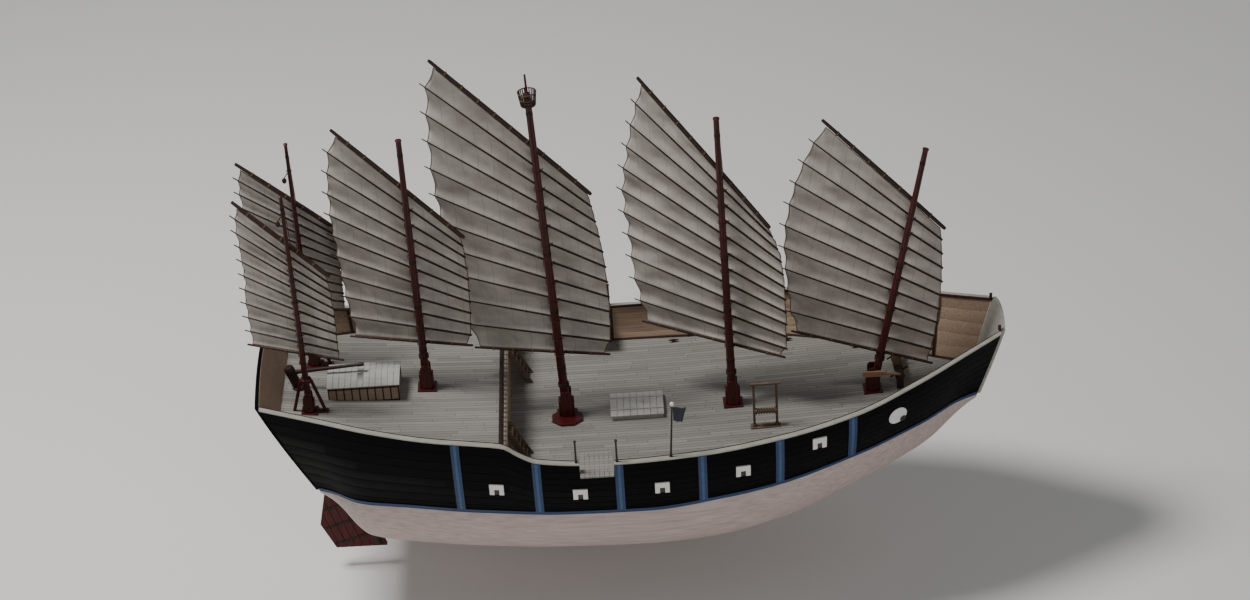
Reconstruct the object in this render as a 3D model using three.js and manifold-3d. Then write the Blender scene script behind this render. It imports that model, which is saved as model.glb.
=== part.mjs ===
// A six-masted Chinese junk as a display model, 1.5 m long: solid decked hull, bulwarks, deck fittings,
// six raked masts and six battened lug sails that swing about their own masts, and a hung rudder.
// X runs to the bow, Y to port and Z up from the flat bottom amidships. All sizes are in millimetres.
import * as THREE from "three";
import { mergeVertices } from "three/addons/utils/BufferGeometryUtils.js";
import Module from "manifold-3d";

const wasm = await Module();
wasm.setup();

// Driving dimensions.
const HALF_LENGTH = 750;
const STERN_RAKE = 95; // how far the foot of the transom lies ahead of its top
const BOW_RAKE = 46; // how far the foot of the bow board lies behind its top
const STERN_FADE = -525; // the rake of the ends dies out at these stations
const BOW_FADE = 560;
const END_BOARD = 8; // transom and bow board, through
const GAP = 0.3; // between pieces that touch
const BULWARK = 8;
const CAP_HEIGHT = 4;
const CAP_OVERHANG = 3;
const DECK_PLATE = 4;
const CUT_DEPTH = 40; // more than any deck fitting reaches into the deck before it is cut
const BREAK_X = -262; // where the quarterdeck ends in its bulkhead
const TRANSOM_CROWN = 12;
const GATE = { aft: -117, fore: -49, sill: 240 };
const PLATFORM = { inner: 228, outer: 312, thick: 6 };
const STRIPE_X = [-359, -202, -40, 124, 278, 425];
const STRIPE_WIDTH = 17;
const BAND_HEIGHT = 9;
const PAINT_PROUD = 2; // outer face of the raised trim, and its inner face, off the side
const PAINT_GAP = 0.7;
const BAY_REACH = 400; // more than the breadth or height of the bay between two stripes
const EYE = { x: 515, z: 268, radius: 19 };
const SIDE_SHARES = [0, 0.17, 0.33, 0.5, 0.67, 0.83, 1]; // levels at which raised paint follows the flare
const SPAR_CLEARANCE = 0.5; // from a yard or boom to the mast it lies against
const CLOTH = 2.4;
const BATTEN_RADIUS = 2.1;
const BATTEN_OVERHANG = 13;
const BOOM_RADIUS = 3;
const SPAR_OVERHANG = 12;

// Hull lines. Each row: station, value.
const GUNWALE_HALF = [[-750, 185], [-634, 215], [-524, 240], [-413, 262], [-270, 284], [-200, 293],
  [-40, 298], [122, 294], [274, 281], [432, 245], [559, 184], [679, 110], [750, 66]];
const GUNWALE_Z = [[-750, 369], [-634, 352], [-524, 333], [-413, 320], [-268, 311], [-235, 292],
  [-200, 276], [-120, 268], [-40, 266], [122, 272], [274, 288], [432, 310], [559, 333], [679, 355], [750, 369]];
const PAINT_HALF = [[-750, 150], [-600, 186], [-486, 208], [-317, 246], [-150, 266], [17, 271],
  [172, 263], [272, 249], [443, 195], [619, 104], [680, 75], [750, 50]];
const PAINT_Z = [[-750, 142], [-638, 133], [-486, 129], [-317, 129], [-150, 127], [17, 128],
  [172, 143], [272, 155], [443, 181], [600, 201], [680, 208], [750, 212]];
const FLAT_HALF = [[-750, 110], [-600, 118], [-500, 128], [-400, 150], [-200, 178], [0, 188],
  [170, 175], [280, 150], [450, 98], [600, 58], [750, 36]];
const KEEL_Z = [[-750, 128], [-700, 92], [-650, 58], [-600, 30], [-560, 12], [-500, 2], [-450, 0],
  [100, 0], [280, 20], [450, 68], [600, 122], [680, 163], [750, 203]];
const MAIN_DECK_Z = [[-750, 186], [0, 186], [200, 191], [450, 202], [600, 213], [680, 221], [750, 227]];
const QUARTERDECK_Z = [[-750, 300], [-668, 291], [-422, 275], [-262, 268]];
const STATIONS_AFT = [-720, -690, -660, -630, -600, -560, -520, -470, -413, -360, -310];
const STATIONS_FORE = [-248, -235, -222, -210, -195, -160, -117, -83, -49, 0, 50, 110, 180, 250, 310, 370, 432, 490, 540,
  590, 640, 690, 720];

// Masts and sails. foot: where the mast axis meets the deck; rake: degrees forward; swing: degrees that the
// sail's after end stands to port; height: of the mast above the deck; sail corners are [along, up], along
// being the distance ahead of the mast in the sail's own plane; leech is listed from the top down.
const RIGS = [
  { name: "main", foot: [-141, 0, 186], rake: -2.4, swing: 10, height: 748, thick: 9.5, thin: 6.4, battens: 10,
    peak: [-180, 808], throat: [92, 524], luff: [[111, 359], [107, 188]], tack: [90, 142], clew: [-166, 158],
    leech: [[-200, 778], [-216, 565], [-201, 330], [-186, 215]] },
  { name: "fore", foot: [201, 0, 191], rake: -1, swing: 24, height: 665, thick: 9, thin: 5.8, battens: 10,
    peak: [-158, 716], throat: [88, 434], luff: [[117, 337], [118, 150]], tack: [104, 126], clew: [-184, 158],
    leech: [[-190, 610], [-218, 467], [-211, 340], [-203, 240]] },
  { name: "bow", foot: [489, 0, 204.5], rake: 11, swing: 12, height: 566, thick: 8.5, thin: 5.6, battens: 9,
    peak: [-200, 568], throat: [62, 400], luff: [[88, 276], [99, 150]], tack: [96, 84], clew: [-176, 88],
    leech: [[-224, 500], [-240, 405], [-238, 290], [-200, 140]] },
  { name: "mizzen", foot: [-422, 0, 275], rake: -0.6, swing: 10, height: 575, thick: 8.5, thin: 5.6, battens: 9,
    peak: [-128, 580], throat: [99, 358], luff: [[106, 259], [100, 130]], tack: [90, 98], clew: [-140, 112],
    leech: [[-148, 539], [-161, 420], [-157, 290], [-146, 160]] },
  { name: "quarter_starboard", foot: [-655, -87, 290], rake: -0.3, swing: 20, height: 500, thick: 7, thin: 3.4,
    battens: 9, peak: [-103, 460], throat: [69, 330], luff: [[75, 262], [75, 195]], tack: [74, 131],
    clew: [-112, 137], leech: [[-113, 412], [-109, 350], [-110, 290], [-114, 235]] },
  { name: "quarter_port", foot: [-655, 87, 290], rake: -0.3, swing: 10, height: 521, thick: 7, thin: 3.4,
    battens: 9, peak: [-103, 460], throat: [69, 330], luff: [[75, 262], [75, 195]], tack: [74, 131],
    clew: [-112, 137], leech: [[-113, 412], [-109, 350], [-110, 290], [-114, 235]] },
];
const FITTINGS = {
  cabin: { x: -548, y: -3, length: 142, width: 84, height: 34, ridge: 8 },
  hatch: { x: 3, y: 10, length: 104, width: 80, height: 11, ridge: 4 },
  windlass: { x: 545, y: 46, halfWidth: 52, height: 42 },
  winch: { x: 262, y: -94, halfLength: 23, height: 98 },
};
const STEP = { side: 15, ahead: 16, height: 66 };
const PROP = { spread: 32, height: 76, radius: 3.4, collar: 4.5 }; // legs that steady a quarter mast
const TOPMAST = { head: 789, radius: 2.6 };
const BASKET = { low: 722, high: 752, radius: 19, wall: 2 };

// The rudder hangs on a stock that leans aft as it rises.
const STOCK = { low: [-556, 0, -108], lean: 0.318, radius: 10, top: 345, hole: 10.6 };
const BLADE = { corners: [[-541, -111], [-648, -110], [-676, -48], [-658, 38], [-607, 62]], thick: 12 };
const TILLER = { length: 150, radius: 5 };

const COLOURS = {
  black: 0x101114, white: 0xe6dfda, blue: 0x2f6f9f, deck: 0xc9c5bb, plank: 0xb59f80, brown: 0x3a231a,
  mast: 0x3d1512, sail: 0xd8d3c6, rudder: 0x5c1a10, pale: 0xd4d0c8,
};

// A smooth curve through [x, value] rows that never overshoots them.
function curveThrough(rows) {
  const slope = (i) => (rows[i + 1][1] - rows[i][1]) / (rows[i + 1][0] - rows[i][0]);
  const last = rows.length - 1;
  const tangents = rows.map((row, i) => {
    if (i === 0) return slope(0);
    if (i === last) return slope(last - 1);
    const before = slope(i - 1);
    const after = slope(i);
    return before * after <= 0 ? 0 : (2 * before * after) / (before + after);
  });
  return (x) => {
    const at = THREE.MathUtils.clamp(x, rows[0][0], rows[last][0]);
    let i = 0;
    while (i < last - 1 && at > rows[i + 1][0]) i += 1;
    const width = rows[i + 1][0] - rows[i][0];
    const t = (at - rows[i][0]) / width;
    const rise = t * t * (3 - 2 * t);
    const hump = t * (1 - t) * width * (tangents[i] * (1 - t) - tangents[i + 1] * t);
    return rows[i][1] * (1 - rise) + rows[i + 1][1] * rise + hump;
  };
}

const gunwaleHalf = curveThrough(GUNWALE_HALF);
const gunwaleZ = curveThrough(GUNWALE_Z);
const paintHalf = curveThrough(PAINT_HALF);
const paintZ = curveThrough(PAINT_Z);
const flatHalf = curveThrough(FLAT_HALF);
const keelZ = curveThrough(KEEL_Z);
const mainDeckZ = curveThrough(MAIN_DECK_Z);
const quarterdeckZ = curveThrough(QUARTERDECK_Z);

// How far up the side a height lies, from 0 at the paint line to 1 at the gunwale.
function upSide(station, z) {
  return (z - paintZ(station)) / (gunwaleZ(station) - paintZ(station));
}

// Half breadth of the outside at a station and height.
function halfAt(station, z) {
  const up = THREE.MathUtils.clamp(upSide(station, z), 0, 1.1);
  const flare = Math.sin((Math.min(up, 1) * Math.PI) / 2);
  return paintHalf(station) + (gunwaleHalf(station) - paintHalf(station)) * flare;
}

// Where a station stands at a height: the end stations lean with the transom and the bow board.
function xAt(station, z) {
  const stern = STERN_RAKE * THREE.MathUtils.smoothstep(-station, -STERN_FADE, HALF_LENGTH);
  const bow = BOW_RAKE * THREE.MathUtils.smoothstep(station, BOW_FADE, HALF_LENGTH);
  return station + (stern - bow) * (1 - Math.max(upSide(station, z), 0));
}

function hullPoint(station, side, half, z) {
  return new THREE.Vector3(xAt(station, z), side * half, z);
}

// A manifold solid from a three.js geometry, its faces turned outwards.
function solid(geometry) {
  const bare = geometry.clone();
  bare.deleteAttribute("normal");
  bare.deleteAttribute("uv");
  const merged = mergeVertices(bare, 1e-3);
  const make = (triVerts) =>
    new wasm.Manifold(new wasm.Mesh({ numProp: 3, vertProperties: merged.attributes.position.array, triVerts }));
  const triVerts = new Uint32Array(merged.index.array);
  const made = make(triVerts);
  return made.volume() > 0 ? made : make(triVerts.reverse());
}

function geometryOf(manifold) {
  const mesh = manifold.getMesh();
  const geometry = new THREE.BufferGeometry();
  geometry.setAttribute("position", new THREE.BufferAttribute(mesh.vertProperties, 3));
  geometry.setIndex(new THREE.BufferAttribute(mesh.triVerts, 1));
  return geometry;
}

function joined(solids) {
  return solids.reduce((sum, next) => sum.add(next));
}

// A closed body through rings of points, all with the same count, with flat fans over its two ends.
function loft(rings) {
  const count = rings[0].length;
  const points = rings.flat();
  const faces = [];
  for (let ring = 0; ring < rings.length - 1; ring += 1) {
    for (let i = 0; i < count; i += 1) {
      const a = ring * count + i;
      const b = ring * count + ((i + 1) % count);
      faces.push(a, b, b + count, a, b + count, a + count);
    }
  }
  const foot = (rings.length - 1) * count;
  for (let i = 1; i < count - 1; i += 1) {
    faces.push(0, i + 1, i);
    faces.push(foot, foot + i, foot + i + 1);
  }
  const geometry = new THREE.BufferGeometry().setFromPoints(points);
  geometry.setIndex(faces);
  return solid(geometry);
}

// A box from its lowest to its highest corner.
function box(low, high) {
  const size = high.map((value, i) => value - low[i]);
  const geometry = new THREE.BoxGeometry(...size);
  geometry.translate(...low.map((value, i) => value + size[i] / 2));
  return solid(geometry);
}

// A round bar between two points, each end with its own radius.
function bar(from, to, radiusFrom, radiusTo = radiusFrom, sides = 10) {
  const start = new THREE.Vector3(...from);
  const axis = new THREE.Vector3(...to).sub(start);
  const geometry = new THREE.CylinderGeometry(radiusTo, radiusFrom, axis.length(), sides);
  geometry.translate(0, axis.length() / 2, 0);
  const turn = new THREE.Quaternion().setFromUnitVectors(new THREE.Vector3(0, 1, 0), axis.normalize());
  geometry.applyQuaternion(turn);
  geometry.translate(start.x, start.y, start.z);
  return solid(geometry);
}

const root = new THREE.Group();

function place(name, manifold, colour, parent = root) {
  const material = new THREE.MeshStandardMaterial({ color: colour, roughness: 0.6, metalness: 0 });
  const mesh = new THREE.Mesh(geometryOf(manifold), material);
  mesh.name = name;
  parent.add(mesh);
}

const STERN_END = -HALF_LENGTH + END_BOARD + GAP;
const BOW_END = HALF_LENGTH - END_BOARD - GAP;
const AFTER_STATIONS = [STERN_END, ...STATIONS_AFT, BREAK_X];
const FORWARD_STATIONS = [BREAK_X + 0.1, ...STATIONS_FORE, BOW_END];
const ALL_STATIONS = [...AFTER_STATIONS, ...FORWARD_STATIONS];

function deckAt(station) {
  return station <= BREAK_X ? quarterdeckZ(station) : mainDeckZ(station);
}

// The white bottom: flat floor, elliptical bilges, up to the paint line.
function bottom() {
  const bilge = [0, 0.2, 0.4, 0.6, 0.8, 1].map((share) => (share * Math.PI) / 2);
  const rings = ALL_STATIONS.filter((station) => station !== BREAK_X).map((station) => {
    const top = paintZ(station);
    const flat = flatHalf(station);
    const side = bilge.map((angle) => ({
      half: flat + (paintHalf(station) - flat) * Math.cos(angle),
      z: top - (top - keelZ(station)) * Math.sin(angle),
    }));
    const starboard = side.map(({ half, z }) => hullPoint(station, -1, half, z));
    const port = side.map(({ half, z }) => hullPoint(station, 1, half, z)).reverse();
    return [...starboard, ...port];
  });
  return loft(rings);
}

// The black topsides, solid up to the underside of the decks.
function topsides() {
  const shares = [0, 0.3, 0.65, 1];
  const rings = ALL_STATIONS.map((station) => {
    const low = paintZ(station) + GAP;
    const high = deckAt(station) - DECK_PLATE - GAP;
    const levels = shares.map((share) => low + (high - low) * share);
    const starboard = levels.map((z) => hullPoint(station, -1, halfAt(station, z), z));
    const port = levels.map((z) => hullPoint(station, 1, halfAt(station, z), z)).reverse();
    return [...starboard, ...port];
  });
  return loft(rings);
}

// A deck of one thickness between the bulwarks.
function deck(stations, heightAt) {
  const rings = stations.map((station) => {
    const z = heightAt(station);
    const half = halfAt(station, z - DECK_PLATE) - BULWARK - 2 * GAP;
    return [
      hullPoint(station, -1, half, z - DECK_PLATE),
      hullPoint(station, -1, half, z),
      hullPoint(station, 1, half, z),
      hullPoint(station, 1, half, z - DECK_PLATE),
    ];
  });
  return loft(rings);
}

// What stands on a deck reaches a little into it and is cut off a hair above its planks.
function standingOn(manifold, stations, heightAt) {
  const rings = stations.map((station) => {
    const z = heightAt(station) + GAP;
    const half = halfAt(station, z);
    const under = z - DECK_PLATE - CUT_DEPTH;
    return [
      hullPoint(station, -1, half, under),
      hullPoint(station, -1, half, z),
      hullPoint(station, 1, half, z),
      hullPoint(station, 1, half, under),
    ];
  });
  return manifold.subtract(loft(rings));
}

function onMainDeck(manifold) {
  return standingOn(manifold, FORWARD_STATIONS, mainDeckZ);
}

function onQuarterdeck(manifold) {
  return standingOn(manifold, AFTER_STATIONS, quarterdeckZ);
}

function onDeckOf(rig, manifold) {
  return rig.foot[0] < BREAK_X ? onQuarterdeck(manifold) : onMainDeck(manifold);
}

// One side's bulwark, with the gate cut down to its sill.
function bulwark(side) {
  const rings = ALL_STATIONS.map((station) => {
    const low = deckAt(station) - DECK_PLATE;
    const high = gunwaleZ(station) - CAP_HEIGHT - GAP;
    const middle = (low + high) / 2;
    const outer = [low, middle, high].map((z) => hullPoint(station, side, halfAt(station, z), z));
    const inner = [high, middle, low].map((z) => hullPoint(station, side, halfAt(station, z) - BULWARK, z));
    return [...outer, ...inner];
  });
  const gate = box([GATE.aft, side > 0 ? 200 : -400, GATE.sill], [GATE.fore, side > 0 ? 400 : -200, 400]);
  return loft(rings).subtract(gate);
}

// The pale rail on the bulwark, from one station to another.
function capRail(side, from, to) {
  const stations = [from, ...ALL_STATIONS.filter((station) => station > from + 1 && station < to - 1), to];
  const rings = stations.map((station) => {
    const top = gunwaleZ(station);
    const outer = gunwaleHalf(station) + CAP_OVERHANG;
    const inner = gunwaleHalf(station) - BULWARK - CAP_OVERHANG;
    return [
      hullPoint(station, side, outer, top - CAP_HEIGHT),
      hullPoint(station, side, outer, top),
      hullPoint(station, side, inner, top),
      hullPoint(station, side, inner, top - CAP_HEIGHT),
    ];
  });
  return loft(rings);
}

// The boarding step that lies in the gate and stands out over the side.
function boardingPlatform(side) {
  const low = GATE.sill + GAP;
  const ends = [side * PLATFORM.inner, side * PLATFORM.outer].sort((a, b) => a - b);
  return box([GATE.aft + 0.5, ends[0], low], [GATE.fore - 0.5, ends[1], low + PLATFORM.thick]);
}

// A flat board across one end of the hull, leaning with it, its top edge crowned.
function endBoard(outside, inside, foot) {
  const across = [-1, -0.75, -0.5, -0.25, 0, 0.25, 0.5, 0.75, 1];
  const face = (station) => {
    const top = gunwaleZ(outside);
    const half = gunwaleHalf(outside);
    const middle = (foot + top) / 2;
    const crown = across.map((share) => hullPoint(station, 1, share * half, top + TRANSOM_CROWN * (1 - share * share)));
    return [
      hullPoint(station, -1, halfAt(outside, foot), foot),
      hullPoint(station, -1, halfAt(outside, middle), middle),
      ...crown,
      hullPoint(station, 1, halfAt(outside, middle), middle),
      hullPoint(station, 1, halfAt(outside, foot), foot),
    ];
  };
  return loft([face(outside), face(inside)]);
}

// A strip of raised paint on one side between two heights at each station.
function paintStrip(side, stations, lowAt, highAt) {
  const rings = stations.map((station) => {
    const low = lowAt(station);
    const levels = SIDE_SHARES.map((share) => low + (highAt(station) - low) * share);
    const outer = levels.map((z) => hullPoint(station, side, halfAt(station, z) + PAINT_PROUD, z));
    const inner = levels.map((z) => hullPoint(station, side, halfAt(station, z) + PAINT_GAP, z)).reverse();
    return [...outer, ...inner];
  });
  return loft(rings);
}

// The blue band along the paint line, which rises to the rail as a stripe at six places.
function blueTrim(side) {
  const low = (station) => paintZ(station) + GAP;
  const whole = paintStrip(side, ALL_STATIONS, low, (station) => gunwaleZ(station) - CAP_HEIGHT - 1);
  const inner = ALL_STATIONS.slice(1, -1);
  const bays = [...STRIPE_X, Infinity].map((stripe, i) => {
    const aft = i === 0 ? -HALF_LENGTH - END_BOARD : STRIPE_X[i - 1] + STRIPE_WIDTH / 2;
    const fore = Math.min(stripe - STRIPE_WIDTH / 2, HALF_LENGTH + END_BOARD);
    const stations = [aft, ...inner.filter((station) => station > aft + 1 && station < fore - 1), fore];
    const rings = stations.map((station) => {
      const foot = low(station) + BAND_HEIGHT;
      return [
        hullPoint(station, side, 0, foot),
        hullPoint(station, side, BAY_REACH, foot),
        hullPoint(station, side, BAY_REACH, foot + BAY_REACH),
        hullPoint(station, side, 0, foot + BAY_REACH),
      ];
    });
    return loft(rings);
  });
  return bays.reduce((left, bay) => left.subtract(bay), whole);
}

// The round eye near the bow, a disc that follows the side.
function eye(side) {
  const reach = EYE.radius + 4;
  const low = () => EYE.z - reach;
  const high = () => EYE.z + reach;
  const patch = paintStrip(side, [EYE.x - reach, EYE.x, EYE.x + reach], low, high);
  const outline = bar([EYE.x, side * 60, EYE.z], [EYE.x, side * 320, EYE.z], EYE.radius, EYE.radius, 24);
  return patch.intersect(outline);
}

// The bulkhead under the front of the quarterdeck.
function quarterdeckBulkhead() {
  const x = BREAK_X + 0.1 + GAP;
  const low = mainDeckZ(BREAK_X) + GAP;
  const high = quarterdeckZ(BREAK_X) - GAP;
  const half = halfAt(BREAK_X, low) - BULWARK - 1;
  return box([x, -half, low], [x + 4, half, high]);
}

// Turned balusters between two rails across the front of the quarterdeck.
function balustrade() {
  const foot = quarterdeckZ(BREAK_X) - 1;
  const half = gunwaleHalf(BREAK_X) - BULWARK - 8;
  const x = BREAK_X - 8;
  const rail = (z) => box([x - 3, -half, z], [x + 3, half, z + 4]);
  const count = 24;
  const balusters = Array.from({ length: count + 1 }, (_, i) => {
    const y = -half + 3 + ((2 * half - 6) * i) / count;
    return bar([x, y, foot + 2], [x, y, foot + 30], 2, 2, 6);
  });
  return onQuarterdeck(joined([rail(foot), rail(foot + 28), ...balusters]));
}

// A ladder from the quarterdeck to the main deck: two strings and their treads.
function ladder(y) {
  const foot = mainDeckZ(BREAK_X) + GAP;
  const rise = quarterdeckZ(BREAK_X) - foot;
  const run = 46;
  const start = BREAK_X + 5.5;
  const outline = new THREE.Shape([
    new THREE.Vector2(start, foot + rise), new THREE.Vector2(start, foot + rise - 16),
    new THREE.Vector2(start + run - 14, foot), new THREE.Vector2(start + run, foot),
    new THREE.Vector2(start + 4, foot + rise),
  ]);
  const string = (at) => {
    const geometry = new THREE.ExtrudeGeometry(outline, { depth: 3, bevelEnabled: false });
    geometry.rotateX(Math.PI / 2);
    geometry.translate(0, at + 3, 0);
    return solid(geometry);
  };
  const treads = [1, 2, 3, 4, 5].map((i) => {
    const z = foot + (rise * i) / 6;
    const x = start + run - 6 - ((run - 8) * i) / 6;
    return box([x - 9, y - 20, z - 2], [x + 1, y + 20, z]);
  });
  return joined([string(y - 21), string(y + 18), ...treads]);
}

// A hatch or skylight: a coaming with an overhanging pitched lid.
function deckHouse({ x, y, length, width, height, ridge }, deckZ) {
  const walls = box([x - length / 2, y - width / 2, deckZ - 4], [x + length / 2, y + width / 2, deckZ + height]);
  const reach = 3;
  const eaves = [
    [-width / 2 - reach, height - 1], [width / 2 + reach, height - 1], [width / 2 + reach, height + 2],
    [0, height + ridge], [-width / 2 - reach, height + 2],
  ];
  const end = (at) => eaves.map(([across, up]) => new THREE.Vector3(at, y + across, deckZ + up));
  return walls.add(loft([end(x - length / 2 - reach), end(x + length / 2 + reach)]));
}

// The anchor windlass: two posts, a barrel between them and its bars.
function windlass({ x, y, halfWidth, height }) {
  const z = mainDeckZ(x);
  const posts = [-1, 1].map((side) => {
    const at = y + side * halfWidth;
    return box([x - 7, at - 4, z - 4], [x + 7, at + 4, z + height]);
  });
  const axle = z + height * 0.66;
  const barrel = bar([x, y - halfWidth, axle], [x, y + halfWidth, axle], 10, 10, 12);
  const bars = [-0.6, 0.6].map((share) => {
    const at = y + share * halfWidth;
    return bar([x - 18, at, axle - 12], [x + 18, at, axle + 12], 2, 2, 6);
  });
  return joined([...posts, barrel, ...bars]);
}

// The halyard winch near the starboard side: two tall posts under a cross head, with a drum low between them.
function winch({ x, y, halfLength, height }) {
  const z = mainDeckZ(x);
  const posts = [-1, 1].map((end) => {
    const at = x + end * halfLength;
    return box([at - 3, y - 3, z - 4], [at + 3, y + 3, z + height]);
  });
  const head = box([x - halfLength - 8, y - 4, z + height], [x + halfLength + 8, y + 4, z + height + 6]);
  const axle = z + height * 0.36;
  const drum = bar([x - halfLength, y, axle], [x + halfLength, y, axle], 7, 7, 12);
  const sole = box([x - halfLength - 8, y - 9, z - 4], [x + halfLength + 8, y + 9, z + 4]);
  return joined([...posts, head, drum, sole]);
}

// The direction of a mast, its sail plane's forward direction and the plane's normal to port.
function rigAxes(rig) {
  const rake = THREE.MathUtils.degToRad(rig.rake);
  const swing = THREE.MathUtils.degToRad(rig.swing);
  const up = new THREE.Vector3(Math.sin(rake), 0, Math.cos(rake));
  const ahead = new THREE.Vector3(Math.cos(rake), 0, -Math.sin(rake));
  const port = new THREE.Vector3(0, 1, 0);
  return {
    up,
    along: ahead.clone().multiplyScalar(Math.cos(swing)).addScaledVector(port, -Math.sin(swing)),
    normal: ahead.clone().multiplyScalar(Math.sin(swing)).addScaledVector(port, Math.cos(swing)),
  };
}

function mastRadius(rig, height) {
  return rig.thick + ((rig.thin - rig.thick) * height) / rig.height;
}

function mastPoint(rig, height) {
  return new THREE.Vector3(...rig.foot).addScaledVector(rigAxes(rig).up, height).toArray();
}

function mast(rig) {
  return onDeckOf(rig, bar(mastPoint(rig, -4), mastPoint(rig, rig.height), rig.thick, rig.thin, 16));
}

// The main mast carries a thin topmast above the lookout's basket.
function mainMast(rig) {
  const topmast = bar(mastPoint(rig, rig.height - 4), mastPoint(rig, TOPMAST.head), TOPMAST.radius,
    TOPMAST.radius * 0.7, 8);
  return mast(rig).add(topmast);
}

// The block that holds the foot of a mast, its two cheeks standing above its front and back.
function mastStep(rig) {
  const scale = rig.thick / 9.5;
  const [x, y, z] = rig.foot;
  const half = STEP.side * scale;
  const reach = STEP.ahead * scale;
  const high = STEP.height * scale;
  const block = box([x - reach, y - half, z - 4], [x + reach, y + half, z + high * 0.62]);
  const cheeks = [-1, 1].map((side) => {
    const ends = [y + side * half, y + side * (half - 4)].sort((a, b) => a - b);
    return box([x - reach * 0.7, ends[0], z + 5], [x + reach * 0.7, ends[1], z + high]);
  });
  const sole = box([x - reach - 5, y - half - 5, z - 4], [x + reach + 5, y + half + 5, z + 4]);
  const socket = bar(mastPoint(rig, -10), mastPoint(rig, high + 20), rig.thick + GAP, rig.thick + GAP, 16);
  return onDeckOf(rig, joined([block, ...cheeks, sole]).subtract(socket));
}

// A quarter mast's step stands on a long plank, with a leg ahead and one behind that meet in a collar.
function proppedMastStep(rig) {
  const [x, y, z] = rig.foot;
  const collarRadius = rig.thick + PROP.collar;
  const collar = bar(mastPoint(rig, PROP.height - 5), mastPoint(rig, PROP.height + 5), collarRadius, collarRadius, 12);
  const legs = [-1, 1].map((end) => {
    const foot = [x + end * PROP.spread, y, z - 6];
    const [topX, topY, topZ] = mastPoint(rig, PROP.height);
    return bar(foot, [topX + end * (rig.thick + PROP.radius), topY, topZ], PROP.radius, PROP.radius, 8);
  });
  const plank = box([x - PROP.spread - 6, y - 6, z - 6], [x + PROP.spread + 6, y + 6, z + 3]);
  const hole = bar(mastPoint(rig, -10), mastPoint(rig, PROP.height + 10), rig.thick + GAP, rig.thick + GAP, 16);
  return mastStep(rig).add(onDeckOf(rig, joined([collar, plank, ...legs]).subtract(hole)));
}

// The sail's own plane, clear of the mast by the boom that lies against it.
function sailPoint(rig, [along, height]) {
  const axes = rigAxes(rig);
  const boomHeight = (rig.tack[1] + rig.clew[1]) / 2;
  const off = mastRadius(rig, boomHeight) + SPAR_CLEARANCE + BOOM_RADIUS;
  return new THREE.Vector3(...rig.foot)
    .addScaledVector(axes.normal, off)
    .addScaledVector(axes.along, along)
    .addScaledVector(axes.up, height);
}

function toVector(pair) {
  return new THREE.Vector2(pair[0], pair[1]);
}

// The sail's edges as smooth curves from the yard down to the boom.
function sailEdges(rig) {
  const leech = new THREE.SplineCurve([rig.peak, ...rig.leech, rig.clew].map(toVector));
  const luff = new THREE.SplineCurve([rig.throat, ...rig.luff, rig.tack].map(toVector));
  return { leech, luff };
}

// A flat piece of cloth with its battens let into it, between the yard and the boom.
function sail(rig) {
  const { leech, luff } = sailEdges(rig);
  const axes = rigAxes(rig);
  const rows = rig.battens + 1;
  const yard = yardRadius(rig) + GAP;
  const inset = (pair, along, down) => [pair.x + along, pair.y - down];
  const after = [];
  const ahead = [];
  for (let row = 0; row <= rows; row += 1) {
    const share = row / rows;
    const drop = row === 0 ? yard * 1.45 : row === rows ? -(BOOM_RADIUS + GAP) : 0;
    after.push(inset(leech.getPointAt(share), 0, drop));
    ahead.push(inset(luff.getPointAt(share), 0, drop));
  }
  const rings = after.map((pair, row) => {
    const half = axes.normal.clone().multiplyScalar(CLOTH / 2);
    const back = sailPoint(rig, pair);
    const front = sailPoint(rig, ahead[row]);
    return [back.clone().sub(half), front.clone().sub(half), front.clone().add(half), back.clone().add(half)];
  });
  const battens = [];
  for (let row = 1; row < rows; row += 1) {
    const start = toVector(after[row]);
    const end = toVector(ahead[row]);
    const way = end.clone().sub(start).normalize();
    start.addScaledVector(way, -BATTEN_OVERHANG);
    end.addScaledVector(way, 3);
    const from = sailPoint(rig, start.toArray()).toArray();
    const to = sailPoint(rig, end.toArray()).toArray();
    battens.push(bar(from, to, BATTEN_RADIUS, BATTEN_RADIUS, 6));
  }
  return joined([loft(rings), ...battens]);
}

// The yard is as thick as fills the room between the mast and the sail's plane.
function yardRadius(rig) {
  const slope = (rig.peak[1] - rig.throat[1]) / (rig.peak[0] - rig.throat[0]);
  const crossing = rig.throat[1] - slope * rig.throat[0];
  const boomHeight = (rig.tack[1] + rig.clew[1]) / 2;
  return mastRadius(rig, boomHeight) + BOOM_RADIUS - mastRadius(rig, crossing);
}

function spar(rig, after, ahead, radius) {
  const start = toVector(after);
  const end = toVector(ahead);
  const way = end.clone().sub(start).normalize();
  start.addScaledVector(way, -SPAR_OVERHANG);
  end.addScaledVector(way, SPAR_OVERHANG);
  const from = sailPoint(rig, start.toArray()).toArray();
  const to = sailPoint(rig, end.toArray()).toArray();
  return bar(from, to, radius, radius, 8);
}

// The lookout's basket near the head of the main mast, open at the top.
function lookoutBasket(rig) {
  const { low, high, radius, wall } = BASKET;
  const outside = bar(mastPoint(rig, low), mastPoint(rig, high), radius * 0.8, radius, 16);
  const inside = bar(mastPoint(rig, low + 3), mastPoint(rig, high + 1), radius * 0.8 - wall, radius - wall, 16);
  const mastHole = bar(mastPoint(rig, low - 5), mastPoint(rig, low + 8), mastRadius(rig, low) + GAP,
    mastRadius(rig, low) + GAP, 16);
  return outside.subtract(inside).subtract(mastHole);
}

function stockPoint(z) {
  const [x, y, low] = STOCK.low;
  return [x - (z - low) * STOCK.lean, y, z];
}

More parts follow.
